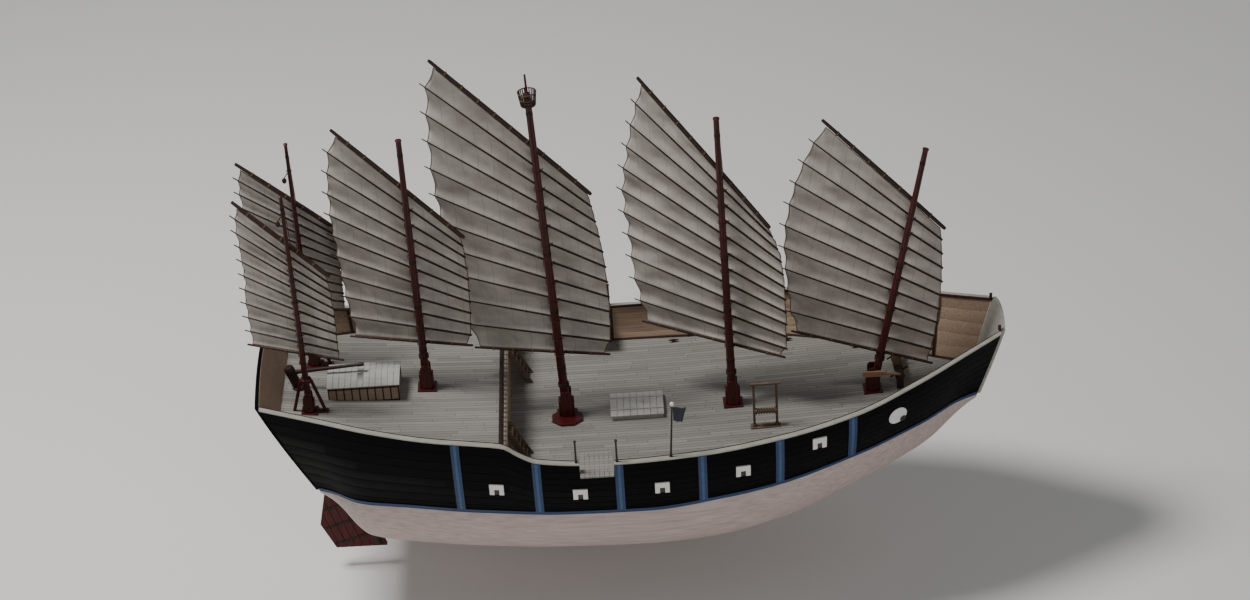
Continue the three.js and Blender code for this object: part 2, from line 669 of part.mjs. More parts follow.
// The rudder: a leaning blade on a round stock, with the tiller at the stock's head.
function rudder() {
  const outline = new THREE.Shape(BLADE.corners.map(toVector));
  const geometry = new THREE.ExtrudeGeometry(outline, { depth: BLADE.thick, bevelEnabled: false });
  geometry.rotateX(Math.PI / 2);
  geometry.translate(0, BLADE.thick / 2, 0);
  const stock = bar(stockPoint(STOCK.low[2]), stockPoint(STOCK.top), STOCK.radius, STOCK.radius, 24);
  const head = stockPoint(STOCK.top - 14);
  const tip = [head[0] + TILLER.length, 0, head[2] + 10];
  return joined([solid(geometry), stock, bar(head, tip, TILLER.radius, TILLER.radius * 0.7, 10)]);
}

const rudderTrunk = bar(stockPoint(-60), stockPoint(420), STOCK.hole, STOCK.hole, 24);

place("hull_bottom", bottom().subtract(rudderTrunk), COLOURS.white);
place("hull_topsides", topsides().subtract(rudderTrunk), COLOURS.black);
place("main_deck", deck(FORWARD_STATIONS, mainDeckZ), COLOURS.deck);
place("quarterdeck", deck(AFTER_STATIONS, quarterdeckZ).subtract(rudderTrunk), COLOURS.deck);
place("quarterdeck_bulkhead", quarterdeckBulkhead(), COLOURS.plank);
place("balustrade", balustrade(), COLOURS.brown);
place("transom", endBoard(-HALF_LENGTH, -HALF_LENGTH + END_BOARD, paintZ(-HALF_LENGTH)), COLOURS.black);
place("bow_board", endBoard(HALF_LENGTH, HALF_LENGTH - END_BOARD, paintZ(HALF_LENGTH)), COLOURS.pale);

for (const [name, side] of [["starboard", -1], ["port", 1]]) {
  place("bulwark_" + name, bulwark(side), COLOURS.plank);
  place("cap_rail_aft_" + name, capRail(side, STERN_END, GATE.aft), COLOURS.pale);
  place("cap_rail_fore_" + name, capRail(side, GATE.fore, BOW_END), COLOURS.pale);
  place("boarding_platform_" + name, boardingPlatform(side), COLOURS.pale);
  place("blue_trim_" + name, blueTrim(side), COLOURS.blue);
  place("eye_" + name, eye(side), COLOURS.white);
  place("ladder_" + name, ladder(side * 150), COLOURS.brown);
}

const { cabin, hatch } = FITTINGS;
place("cabin_skylight", onQuarterdeck(deckHouse(cabin, quarterdeckZ(cabin.x))), COLOURS.deck);
place("main_hatch", onMainDeck(deckHouse(hatch, mainDeckZ(hatch.x))), COLOURS.deck);
place("halyard_winch", onMainDeck(winch(FITTINGS.winch)), COLOURS.brown);
place("anchor_windlass", onMainDeck(windlass(FITTINGS.windlass)), COLOURS.brown);

for (const rig of RIGS) {
  const makeMast = rig.name === "main" ? mainMast : mast;
  const makeStep = rig.name.startsWith("quarter") ? proppedMastStep : mastStep;
  place("mast_" + rig.name, makeMast(rig), COLOURS.mast);
  place("mast_step_" + rig.name, makeStep(rig), COLOURS.mast);
  place("sail_" + rig.name, sail(rig), COLOURS.sail);
  place("yard_" + rig.name, spar(rig, rig.peak, rig.throat, yardRadius(rig)), COLOURS.brown);
  place("boom_" + rig.name, spar(rig, rig.clew, rig.tack, BOOM_RADIUS), COLOURS.brown);
}
place("lookout_basket", lookoutBasket(RIGS[0]), COLOURS.brown);
place("rudder", rudder(), COLOURS.rudder);

export default root;
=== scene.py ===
"""A six-masted Chinese junk, 1.5 m long, finished as the painted and rigged display model that it is.

X runs to the bow, Y to port and Z up from the flat bottom amidships. Sizes are in millimetres, and they
become metres where a mesh is made.
"""
import math

import bmesh
import bpy
from mathutils import Matrix, Vector, noise


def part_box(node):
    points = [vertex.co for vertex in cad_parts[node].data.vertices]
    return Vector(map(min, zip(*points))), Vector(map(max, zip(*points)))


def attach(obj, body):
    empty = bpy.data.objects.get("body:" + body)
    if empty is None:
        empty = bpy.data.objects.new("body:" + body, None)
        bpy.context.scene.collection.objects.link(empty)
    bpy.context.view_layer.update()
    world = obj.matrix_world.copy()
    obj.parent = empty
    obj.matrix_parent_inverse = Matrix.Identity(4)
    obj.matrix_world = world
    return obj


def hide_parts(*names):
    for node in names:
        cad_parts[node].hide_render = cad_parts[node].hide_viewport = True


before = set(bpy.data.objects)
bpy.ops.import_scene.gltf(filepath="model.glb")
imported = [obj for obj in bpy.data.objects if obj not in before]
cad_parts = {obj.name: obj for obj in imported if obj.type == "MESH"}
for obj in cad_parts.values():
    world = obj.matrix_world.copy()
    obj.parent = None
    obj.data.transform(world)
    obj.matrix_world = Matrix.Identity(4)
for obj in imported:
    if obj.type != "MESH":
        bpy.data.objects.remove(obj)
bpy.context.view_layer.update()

MM = 0.001

# Measures of the hull and its trim.
HALF_LENGTH = 750
STERN_RAKE = 95  # how far the foot of the stern lies ahead of its top
BOW_RAKE = 46  # and the foot of the bow behind its top
STERN_FADE = -525  # the stations where that lean begins
BOW_FADE = 560
GAP = 0.3  # between two pieces that lie against each other
END_BOARD = 8
STERN_END = -HALF_LENGTH + END_BOARD + GAP
BOW_END = HALF_LENGTH - END_BOARD - GAP
BREAK_X = -262  # where the quarterdeck ends
BULWARK = 8
SKIN = 2.6  # of the bulwark's thickness, what the black outer planking takes
DECK_PLATE = 4
CAP_HEIGHT = 4
CAP_OVERHANG = 3
TRANSOM_CROWN = 12
GATE = {"aft": -117, "fore": -49, "sill": 240}  # the opening in each bulwark
STRAKES = 8
LINING_BOARDS = 5
SEAM = 0.5  # half the width, and the depth, of the groove between two planks
DECK_BOARD = 9
DECK_LENGTH = 170  # of a deck plank, from butt to butt
PARTING = 0.3  # half the gap between two boards that lie side by side
STATION_STEP = 9
STRIPE_X = [-359, -202, -40, 124, 278, 425]
POST_X = STRIPE_X + [-480, -590, 545, 640]
CLEAT_X = [-657, -340, -160, 90, 330, 470]
BAND = {"height": 9, "width": 17, "proud": 1.6}  # blue, with risers of that width
LIGHT_LINE = {"width": 5.2, "proud": 2.0}
GUNPORTS = [(-284, 199), (-119, 188), (43, 194), (204, 217), (357, 259)]  # station, height of the middle
GUNPORT = {"size": 29, "leg": 9.5, "lintel": 14, "proud": 2.2}
EYE = {"x": 519, "z": 267, "half_length": 19, "half_height": 22, "proud": 2.2}
PUPIL = {"x": 530, "z": 254, "half_length": 6.5, "half_height": 8.5, "proud": 3.0}

# Measures of the masts, the sails and the rudder.
STEP = {"side": 15, "ahead": 16, "height": 66, "cheek": 4}  # the main mast's; the others are smaller
PLINTH = {"off": 14, "half_length": 34, "half_width": 30, "thick": 5}  # under the main mast's step
PROP = {"spread": 32, "height": 76, "radius": 3.4, "collar": 4.5}  # the legs of the quarter masts
TOPMAST = {"head": 789, "radius": 2.6}
MAST_HOOP = {"levels": (0.16, 0.34, 0.52, 0.94), "half_height": 3, "proud": 0.35}
HALYARD = {"below_head": 16, "foot": 40, "belayed": 74}  # heights of its block, its foot and its turns
QUARTER_BLOCK = {"up": 437, "aft": 12, "radius": 5}
BASKET = {"low": 722, "high": 752, "radius": 19}
SPAR_CLEARANCE = 0.5  # between a yard or boom and its mast
SPAR_OVERHANG = 12  # past the corners of the sail
BOOM_RADIUS = 3
BATTEN_RADIUS = 2.3
BATTEN_OVERHANG = 13  # past the leech
CLOTH = 0.8  # its thickness
ACROSS = 56  # faces of the cloth from luff to leech
DOWN = 10  # and from one batten to the next
FULLNESS = 0.26  # depth of a panel's belly, of its height
CLOTH_WIDTH = 30.0  # of the narrow cloths that a sail is sewn from
THREAD = 1.6  # between two threads of the sailcloth, as drawn
STRAND = 2  # between two strands of a rope, as drawn
PENNANT = {"x": 63, "lean": 7, "height": 118, "width": 26, "drop": 30}
STOCK = {"low": (-556, 0, -108), "lean": 0.318, "radius": 10, "top": 345}
BLADE = {"corners": [(-541, -111), (-648, -110), (-676, -48), (-658, 38), (-607, 62)], "thick": 12}
TILLER_LENGTH = 150

# One rig a mast, and what the two quarter masts share. foot: where its axis meets the deck; rake and swing
# in degrees; the sail's corners and edges are (along, up) in its own plane, along being ahead of the mast.
QUARTER_RIG = {"rake": -0.3, "thick": 7, "thin": 3.4, "battens": 9, "peak": (-103, 460), "throat": (69, 330),
               "luff": [(75, 262), (75, 195)], "tack": (74, 131), "clew": (-112, 137),
               "leech": [(-113, 412), (-109, 350), (-110, 290), (-114, 235)]}
RIGS = [
    {"name": "main", "foot": (-141, 0, 186), "rake": -2.4, "swing": 10, "height": 748, "thick": 9.5,
     "thin": 6.4, "battens": 10, "peak": (-180, 808), "throat": (92, 524),
     "luff": [(111, 359), (107, 188)], "tack": (90, 142), "clew": (-166, 158),
     "leech": [(-200, 778), (-216, 565), (-201, 330), (-186, 215)]},
    {"name": "fore", "foot": (201, 0, 191), "rake": -1, "swing": 24, "height": 665, "thick": 9,
     "thin": 5.8, "battens": 10, "peak": (-158, 716), "throat": (88, 434),
     "luff": [(117, 337), (118, 150)], "tack": (104, 126), "clew": (-184, 158),
     "leech": [(-190, 610), (-218, 467), (-211, 340), (-203, 240)]},
    {"name": "bow", "foot": (489, 0, 204.5), "rake": 11, "swing": 12, "height": 566, "thick": 8.5,
     "thin": 5.6, "battens": 9, "peak": (-200, 568), "throat": (62, 400),
     "luff": [(88, 276), (99, 150)], "tack": (96, 84), "clew": (-176, 88),
     "leech": [(-224, 500), (-240, 405), (-238, 290), (-200, 140)]},
    {"name": "mizzen", "foot": (-422, 0, 275), "rake": -0.6, "swing": 10, "height": 575, "thick": 8.5,
     "thin": 5.6, "battens": 9, "peak": (-128, 580), "throat": (99, 358),
     "luff": [(106, 259), (100, 130)], "tack": (90, 98), "clew": (-140, 112),
     "leech": [(-148, 539), (-161, 420), (-157, 290), (-146, 160)]},
    {**QUARTER_RIG, "name": "quarter_starboard", "foot": (-655, -87, 290), "swing": 20, "height": 500},
    {**QUARTER_RIG, "name": "quarter_port", "foot": (-655, 87, 290), "swing": 10, "height": 521},
]
MAIN_RIG = RIGS[0]
BOW_RIG = RIGS[2]
SIDES = [("starboard", -1), ("port", 1)]


def curve_through(rows):
    """A smooth curve through (station, value) rows that never overshoots them."""
    last = len(rows) - 1
    slopes = [(b[1] - a[1]) / (b[0] - a[0]) for a, b in zip(rows, rows[1:])]
    tangents = [slopes[0]]
    for before, after in zip(slopes, slopes[1:]):
        tangents.append(0 if before * after <= 0 else 2 * before * after / (before + after))
    tangents.append(slopes[-1])

    def value(x):
        at = min(max(x, rows[0][0]), rows[last][0])
        i = 0
        while i < last - 1 and at > rows[i + 1][0]:
            i += 1
        width = rows[i + 1][0] - rows[i][0]
        t = (at - rows[i][0]) / width
        rise = t * t * (3 - 2 * t)
        hump = t * (1 - t) * width * (tangents[i] * (1 - t) - tangents[i + 1] * t)
        return rows[i][1] * (1 - rise) + rows[i + 1][1] * rise + hump

    return value


# The lines of the hull, the same as its solids'. Each row: station, value.
gunwale_half = curve_through([
    (-750, 185), (-634, 215), (-524, 240), (-413, 262), (-270, 284), (-200, 293), (-40, 298), (122, 294),
    (274, 281), (432, 245), (559, 184), (679, 110), (750, 66)])
gunwale_z = curve_through([
    (-750, 369), (-634, 352), (-524, 333), (-413, 320), (-268, 311), (-235, 292), (-200, 276),
    (-120, 268), (-40, 266), (122, 272), (274, 288), (432, 310), (559, 333), (679, 355), (750, 369)])
paint_half = curve_through([
    (-750, 150), (-600, 186), (-486, 208), (-317, 246), (-150, 266), (17, 271), (172, 263), (272, 249),
    (443, 195), (619, 104), (680, 75), (750, 50)])
paint_z = curve_through([
    (-750, 142), (-638, 133), (-486, 129), (-317, 129), (-150, 127), (17, 128), (172, 143), (272, 155),
    (443, 181), (600, 201), (680, 208), (750, 212)])
flat_half = curve_through([
    (-750, 110), (-600, 118), (-500, 128), (-400, 150), (-200, 178), (0, 188), (170, 175), (280, 150),
    (450, 98), (600, 58), (750, 36)])
keel_z = curve_through([
    (-750, 128), (-700, 92), (-650, 58), (-600, 30), (-560, 12), (-500, 2), (-450, 0), (100, 0),
    (280, 20), (450, 68), (600, 122), (680, 163), (750, 203)])
main_deck_z = curve_through([
    (-750, 186), (0, 186), (200, 191), (450, 202), (600, 213), (680, 221), (750, 227)])
quarterdeck_z = curve_through([
    (-750, 300), (-668, 291), (-422, 275), (-262, 268)])


def smoothstep(x, low, high):
    t = min(max((x - low) / (high - low), 0), 1)
    return t * t * (3 - 2 * t)


def mix(a, b, share):
    return a + (b - a) * share


def evenly(a, b, parts):
    """Values from a to b in even steps."""
    return [mix(a, b, i / parts) for i in range(parts + 1)]


def side_by_side(a, b, boards, gap=PARTING):
    """The two edges of each of the boards that lie side by side from a to b."""
    edges = evenly(a, b, boards)
    return [(low + gap, high - gap) for low, high in zip(edges, edges[1:])]


def circle(centre, across, other, radius, sides):
    """Points around a centre, in the plane of two directions."""
    angles = [2 * math.pi * i / sides for i in range(sides)]
    return [centre + (across * math.cos(a) + other * math.sin(a)) * radius for a in angles]


def box_of(node):
    """The lowest and the highest corner of a solid, in millimetres."""
    return tuple(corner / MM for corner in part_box(node))


def up_side(station, z):
    """How far up the side a height lies: 0 at the paint line, 1 at the gunwale."""
    return (z - paint_z(station)) / (gunwale_z(station) - paint_z(station))


def half_at(station, z):
    """Half the outside breadth at a station and height."""
    up = min(max(up_side(station, z), 0), 1)
    return mix(paint_half(station), gunwale_half(station), math.sin(up * math.pi / 2))


def hull_point(station, side, half, z):
    """A point of a station, moved with the lean of the ends."""
    stern = STERN_RAKE * smoothstep(-station, -STERN_FADE, HALF_LENGTH)
    bow = BOW_RAKE * smoothstep(station, BOW_FADE, HALF_LENGTH)
    return Vector((station + (stern - bow) * (1 - max(up_side(station, z), 0)), side * half, z))


def skin_point(station, side, z, proud=0.0):
    """A point on the outside of the hull, or that far off it."""
    return hull_point(station, side, half_at(station, z) + proud, z)


def deck_at(station):
    return quarterdeck_z(station) if station <= BREAK_X else main_deck_z(station)


def stations_between(aft, fore, extra=()):
    """Evenly spaced stations from one to another, with any extra ones among them."""
    count = max(2, round((fore - aft) / STATION_STEP))
    even = [aft + (fore - aft) * i / count for i in range(count + 1)]
    return sorted(set(even) | {x for x in extra if aft < x < fore})


EDGE = 0.05  # between two stations that make an upright edge
GATE_EDGES = [GATE["aft"] - EDGE, GATE["aft"], GATE["fore"], GATE["fore"] + EDGE]
HULL_STATIONS = stations_between(STERN_END, BOW_END, GATE_EDGES + [BREAK_X, BREAK_X + EDGE])


def gate_top(station, z):
    """A height, or the gate's sill where the gate cuts it off."""
    in_gate = GATE["aft"] <= station <= GATE["fore"]
    return min(z, GATE["sill"]) if in_gate else z


def under_rail(station):
    """Where the planks of a side end below its cap rail."""
    return gunwale_z(station) - CAP_HEIGHT - GAP


class Shape:
    """Points in millimetres, and faces with the number of the finish that each shows."""

    def __init__(self):
        self.points = []
        self.faces = []
        self.finishes = []

    def add(self, points, faces, finish=0):
        first = len(self.points)
        self.points += [Vector(point) for point in points]
        self.faces += [[first + i for i in face] for face in faces]
        self.finishes += [finish] * len(faces)

    def sheet(self, rows):
        """A sheet through rows of points."""
        count = len(rows[0])
        corners = [row * count + column for row in range(len(rows) - 1) for column in range(count - 1)]
        self.add([point for row in rows for point in row],
                 [[a, a + 1, a + count + 1, a + count] for a in corners])

    def loft(self, rings, finish=0, closed=False):
        """A skin through rings of points, with faces over its two ends, or closed on itself."""
        count = len(rings[0])
        foot = (len(rings) - 1) * count
        faces = []
        for ring in range(len(rings) if closed else len(rings) - 1):
            near = ring * count
            far = (ring + 1) % len(rings) * count
            for i in range(count):
                after = (i + 1) % count
                faces.append([near + i, near + after, far + after, far + i])
        if not closed:
            faces.append(list(range(count)))
            faces.append([foot + i for i in reversed(range(count))])
        self.add([point for ring in rings for point in ring], faces, finish)

    def slab(self, outline, axis, ends, finish=0):
        """An outline in the plane across an axis, made solid between two places along it."""
        place = "xyz".index(axis)
        rings = [[Vector((*point[:place], end, *point[place:])) for point in outline] for end in ends]
        self.loft(rings, finish)

    def board(self, low, high, finish=0, turn=None):
        """A straight-edged board from its lowest to its highest corner, in its own turned frame if given."""
        corners = [Vector((x, y, z)) for z in (low[2], high[2]) for x, y in
                   ((low[0], low[1]), (high[0], low[1]), (high[0], high[1]), (low[0], high[1]))]
        placed = [turn @ corner for corner in corners] if turn else corners
        self.loft([placed[:4], placed[4:]], finish)

    def post(self, x, y, half_x, half_y, low, high):
        """An upright board around a place on deck."""
        self.board((x - half_x, y - half_y, low), (x + half_x, y + half_y, high))

    def turned(self, foot, head, profile, finish=0, sides=16, closed=False):
        """A turned form along the line from foot to head: rows of (share of the way, radius)."""
        start = Vector(foot)
        axis = Vector(head) - start
        across = axis.orthogonal().normalized()
        other = axis.normalized().cross(across)
        rings = [circle(start + axis * share, across, other, radius, sides) for share, radius in profile]
        self.loft(rings, finish, closed)

    def rope(self, points, radius, finish=0, sides=6, closed=False):
        """A round rope or bar that follows points."""
        line = [Vector(point) for point in points]
        across = (line[1] - line[0]).orthogonal().normalized()
        rings = []
        for i, point in enumerate(line):
            before = line[i - 1] if i or closed else point
            after = line[(i + 1) % len(line)] if i < len(line) - 1 or closed else point
            way = (after - before).normalized()
            across = (across - way * across.dot(way)).normalized()
            rings.append(circle(point, across, way.cross(across), radius, sides))
        self.loft(rings, finish, closed)

    def hoop(self, centre, axis, radius, thick, finish=0, sides=20, turns=1):
        """A ring, or several side by side, around an axis."""
        way = Vector(axis).normalized()
        across = way.orthogonal().normalized()
        other = way.cross(across)
        for turn in range(turns):
            middle = Vector(centre) + way * (turn - (turns - 1) / 2) * thick * 2
            self.rope(circle(middle, across, other, radius, sides), thick, finish, closed=True)


def new_object(name, data):
    """A new object of the scene that shows the data."""
    made = bpy.data.objects.new(name, data)
    bpy.context.scene.collection.objects.link(made)
    return made


def piece(name, shape, finishes, body="hull", replaces=(), bevel=0.0, crease=38):
    """Makes a shape a piece that rides on a body, its edges rounded by the bevel in millimetres."""
    mesh = bpy.data.meshes.new(name)
    mesh.from_pydata([point * MM for point in shape.points], [], shape.faces)
    for finish in finishes:
        mesh.materials.append(finish)
    mesh.polygons.foreach_set("material_index", shape.finishes)
    work = bmesh.new()
    work.from_mesh(mesh)
    bmesh.ops.remove_doubles(work, verts=work.verts, dist=0.02 * MM)
    bmesh.ops.dissolve_degenerate(work, edges=work.edges, dist=0.01 * MM)
    bmesh.ops.recalc_face_normals(work, faces=work.faces)
    work.to_mesh(mesh)
    work.free()
    mesh.shade_smooth()
    mesh.set_sharp_from_angle(angle=math.radians(crease))
    made = new_object(name, mesh)
    if bevel:
        rounding = made.modifiers.new("rounded_edges", "BEVEL")
        rounding.width = bevel * MM
        rounding.segments = 2
        rounding.limit_method = "ANGLE"
        rounding.angle_limit = math.radians(crease)
        rounding.harden_normals = True
    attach(made, body)
    if replaces:
        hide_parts(*replaces)
    return made


# Finishes.

def linear(code):
    """An sRGB hex colour as the linear colour that a shader takes."""
    channels = [int(code[i:i + 2], 16) / 255 for i in (0, 2, 4)]
    return [c / 12.92 if c <= 0.04045 else ((c + 0.055) / 1.055) ** 2.4 for c in channels] + [1.0]


def add(tree, kind, settings=None, inputs=None):
    """Adds a node with its own settings, and its inputs as plain values or other nodes' outputs."""
    made = tree.nodes.new("ShaderNode" + kind)
    for name, value in (settings or {}).items():
        if name == "stops":
            for i, (position, colour) in enumerate(value):
                elements = made.color_ramp.elements
                stop = elements[i] if i < 2 else elements.new(position)
                stop.position = position
                stop.color = linear(colour)
        else:
            setattr(made, name, value)
    for name, value in (inputs or {}).items():
        if isinstance(value, bpy.types.NodeSocket):
            tree.links.new(value, made.inputs[name])
        else:
            made.inputs[name].default_value = value
    return made


def finish_of(name, **sockets):
    """A new material's node tree, its shader and itself; what is the same all over is set on the shader."""
    material = bpy.data.materials.new(name)
    material.use_nodes = True
    shader = material.node_tree.nodes["Principled BSDF"]
    for socket, value in sockets.items():
        shader.inputs[socket.replace("_", " ")].default_value = value
    return material.node_tree, shader, material


def patches(tree, size, detail=4.0, roughness=0.55):
    """Uneven noise whose patches measure about size, in millimetres along X, Y and Z."""
    coordinates = add(tree, "TexCoord")
    scaled = add(tree, "Mapping", {"vector_type": "TEXTURE"},
                 {"Vector": coordinates.outputs["Object"], "Scale": [s * MM for s in size]})
    return add(tree, "TexNoise", None, {"Vector": scaled.outputs["Vector"], "Scale": 1.0, "Detail": detail,
                                        "Roughness": roughness}).outputs["Fac"]


def coloured(tree, shader, factor, stops):
    """Gives the shader a colour that runs through stops of (position, hex) with the factor."""
    ramp = add(tree, "ValToRGB", {"stops": stops}, {"Fac": factor})
    tree.links.new(ramp.outputs["Color"], shader.inputs["Base Color"])


def uneven(tree, shader, height, depth, strength):
    """Raises and sinks the surface by up to a depth in millimetres."""
    bump = add(tree, "Bump", None, {"Height": height, "Distance": depth * MM, "Strength": strength})
    tree.links.new(bump.outputs["Normal"], shader.inputs["Normal"])


def worn_gloss(tree, shader, factor, low, high):
    """Spreads the roughness between two values with the factor."""
    spread = add(tree, "MapRange", None, {"Value": factor, "To Min": low, "To Max": high})
    tree.links.new(spread.outputs["Result"], shader.inputs["Roughness"])


def brushed(name, size, stops, rough, depth, strength, grain=(4.0, 0.55), **sockets):
    """A finish with one uneven pattern that its colour, its gloss and its relief all follow."""
    tree, shader, material = finish_of(name, **sockets)
    pattern = patches(tree, size, *grain)
    coloured(tree, shader, pattern, stops)
    worn_gloss(tree, shader, pattern, *rough)
    uneven(tree, shader, pattern, depth, strength)
    return material


def oiled_white_bottom():
    """White oil paint brushed fore and aft over planks: a satin, slightly pink white with faint streaks."""
    stops = [(0.3, "a99590"), (0.55, "baa8a3"), (0.8, "c7b8b4")]
    return brushed("white_oil_paint", (90, 6, 5), stops, (0.42, 0.6), 0.25, 0.4, IOR=1.5)


def black_lacquer():
    """Black lacquer rubbed down on planks: deep black, with a low gloss, duller where dust wore it."""
    tree, shader, material = finish_of("black_lacquer", IOR=1.5, Specular_IOR_Level=0.06)
    wear = patches(tree, (70, 20, 9))
    coloured(tree, shader, wear, [(0.35, "020203"), (0.7, "060607")])
    worn_gloss(tree, shader, wear, 0.45, 0.65)
    uneven(tree, shader, patches(tree, (60, 4, 2.5)), 0.2, 0.3)
    return material


def scrubbed_pine_deck():
    """Pine deck planks scrubbed to a pale grey: each its own tone, with dark caulking, butts and fine grain.

    Butts are drawn 1 mm wide and seams 0.8 mm, wider than the real ones, so that they show.
    """
    tree, shader, material = finish_of("scrubbed_pine", IOR=1.45)
    coordinates = add(tree, "TexCoord")
    axes = add(tree, "SeparateXYZ", None, {"Vector": coordinates.outputs["Object"]})
    rows = add(tree, "Math", {"operation": "DIVIDE"}, {0: axes.outputs["Y"], 1: DECK_BOARD * MM})
    row = add(tree, "Math", {"operation": "FLOOR"}, {0: rows.outputs[0]})
    shift = add(tree, "TexWhiteNoise", {"noise_dimensions": "1D"}, {"W": row.outputs[0]})
    lengths = add(tree, "Math", {"operation": "DIVIDE"}, {0: axes.outputs["X"], 1: DECK_LENGTH * MM})
    shifted = add(tree, "Math", {"operation": "ADD"}, {0: lengths.outputs[0], 1: shift.outputs["Value"]})
    board = add(tree, "Math", {"operation": "FLOOR"}, {0: shifted.outputs[0]})
    spot = add(tree, "CombineXYZ", None, {"X": row.outputs[0], "Y": board.outputs[0]})
    tone = add(tree, "TexWhiteNoise", {"noise_dimensions": "2D"}, {"Vector": spot.outputs[0]})
    grain = patches(tree, (45, 2.2, 2.2))
    blended = add(tree, "Mix", None, {0: 0.5, 2: tone.outputs["Value"], 3: grain})
    bare = add(tree, "ValToRGB", {"stops": [(0.2, "797670"), (0.5, "85827c"), (0.85, "918e88")]},
               {"Fac": blended.outputs[0]})
    along = add(tree, "Math", {"operation": "FRACT"}, {0: shifted.outputs[0]})
    butt = add(tree, "Math", {"operation": "LESS_THAN"}, {0: along.outputs[0], 1: 0.006})
    across = add(tree, "Math", {"operation": "PINGPONG"}, {0: rows.outputs[0], 1: 0.5})
    caulk = add(tree, "Math", {"operation": "LESS_THAN"}, {0: across.outputs[0], 1: 0.045})
    seams = add(tree, "Math", {"operation": "MAXIMUM"}, {0: butt.outputs[0], 1: caulk.outputs[0]})
    caulked = add(tree, "Mix", {"data_type": "RGBA"},
                  {0: seams.outputs[0], 6: bare.outputs["Color"], 7: linear("5b564f")})
    tree.links.new(caulked.outputs[2], shader.inputs["Base Color"])
    worn_gloss(tree, shader, grain, 0.6, 0.8)
    uneven(tree, shader, grain, 0.15, 0.35)
    return material


def wood(name, grain_size, stops, rough, coat=0.0):
    """Stained or varnished wood: long grain that darkens and lightens the stain, and a gloss to match."""
    return brushed(name, grain_size, stops, rough, 0.2, 0.35, (5.0, 0.6), IOR=1.5, Specular_IOR_Level=0.25,
                   Coat_Weight=coat, Coat_Roughness=0.25)


def paint(name, stops, rough=(0.4, 0.55), size=(30, 12, 8)):
    """Brushed enamel or oil paint: one colour, a little uneven where the brush laid it on."""
    return brushed(name, size, stops, rough, 0.15, 0.3, IOR=1.5)


def cotton_sailcloth():
    """Plain-woven cotton sewn from narrow cloths: matt off-white, a visible weave, seams, grey weathering.

    The threads of the real cloth lie 0.4 mm apart and are drawn at 1.6 mm, so that they show.
    """
    tree, shader, material = finish_of("cotton_sailcloth", IOR=1.45, Roughness=0.92, Sheen_Weight=0.15,
                                       Sheen_Roughness=0.5)
    sheet = add(tree, "UVMap")
    axes = add(tree, "SeparateXYZ", None, {"Vector": sheet.outputs["UV"]})
    weathering = patches(tree, (70, 70, 40))
    cloths = add(tree, "Math", {"operation": "DIVIDE"}, {0: axes.outputs["X"], 1: CLOTH_WIDTH})
    across = add(tree, "Math", {"operation": "PINGPONG"}, {0: cloths.outputs[0], 1: 0.5})
    seam = add(tree, "Math", {"operation": "LESS_THAN"}, {0: across.outputs[0], 1: 0.018})
    tinted = add(tree, "ValToRGB", {"stops": [(0.3, "9b928b"), (0.55, "b2a9a2"), (0.8, "c6bdb6")]},
                 {"Fac": weathering})
    sewn = add(tree, "Mix", {"data_type": "RGBA"},
               {0: seam.outputs[0], 6: tinted.outputs["Color"], 7: linear("99928b")})
    tree.links.new(sewn.outputs[2], shader.inputs["Base Color"])
    threads = []
    for axis in ("X", "Y"):
        phase = add(tree, "Math", {"operation": "MULTIPLY"}, {0: axes.outputs[axis], 1: 2 * math.pi / THREAD})
        threads.append(add(tree, "Math", {"operation": "SINE"}, {0: phase.outputs[0]}).outputs[0])
    weave = add(tree, "Math", {"operation": "MULTIPLY"}, {0: threads[0], 1: threads[1]})
    raised = add(tree, "Math", {"operation": "MULTIPLY_ADD"},
                 {0: seam.outputs[0], 1: 2.0, 2: weave.outputs[0]})
    uneven(tree, shader, raised.outputs[0], 0.12, 0.5)
    return material


def hemp_rope(name, stops):
    """Laid hemp: brown strands, drawn 2 mm apart, coarser than the real ones, so that they show."""
    tree, shader, material = finish_of(name, IOR=1.45, Roughness=0.85)
    coordinates = add(tree, "TexCoord")
    strands = add(tree, "TexWave", {"bands_direction": "DIAGONAL"},
                  {"Vector": coordinates.outputs["Object"], "Scale": 1 / (STRAND * MM * 3),
                   "Distortion": 1.0})
    coloured(tree, shader, strands.outputs["Fac"], stops)
    uneven(tree, shader, strands.outputs["Fac"], 0.3, 0.5)
    return material


def blackened_iron():
    """Forged iron straps, blackened with oil: a dark, dull metal with an uneven hammered face."""
    stops = [(0.3, "2a2725"), (0.8, "4b4642")]
    return brushed("blackened_iron", (6, 6, 6), stops, (0.45, 0.7), 0.3, 0.4, Metallic=1.0)


BOTTOM_PAINT = oiled_white_bottom()
BLACK_LACQUER = black_lacquer()
DECK_PINE = scrubbed_pine_deck()
LINING_PINE = wood("varnished_pine", (55, 3, 2.4), [(0.25, "7f6a56"), (0.55, "9a8470"), (0.8, "ad9883")],
                   (0.5, 0.7), 0.1)
DARK_TEAK = wood("dark_stained_teak", (30, 3, 3), [(0.3, "1f120c"), (0.55, "33201a"), (0.8, "463025")],
                 (0.45, 0.65), 0.1)
MAST_MAHOGANY = wood("mahogany_varnish", (2.5, 2.5, 60),
                     [(0.3, "2e0709"), (0.55, "470f10"), (0.8, "5f1a18")], (0.35, 0.5), 0.3)
RUDDER_RED = wood("red_stained_elm", (4, 4, 50), [(0.3, "370703"), (0.55, "4f0e06"), (0.8, "66190e")],
                  (0.45, 0.65), 0.15)
BATTEN_BAMBOO = wood("smoked_bamboo", (40, 2, 2), [(0.3, "19120e"), (0.8, "33281f")], (0.45, 0.6))
WEATHERED_ELM = wood("weathered_elm", (30, 3, 3), [(0.3, "4d4036"), (0.55, "665748"), (0.8, "7c6d5c")],
                     (0.6, 0.8))
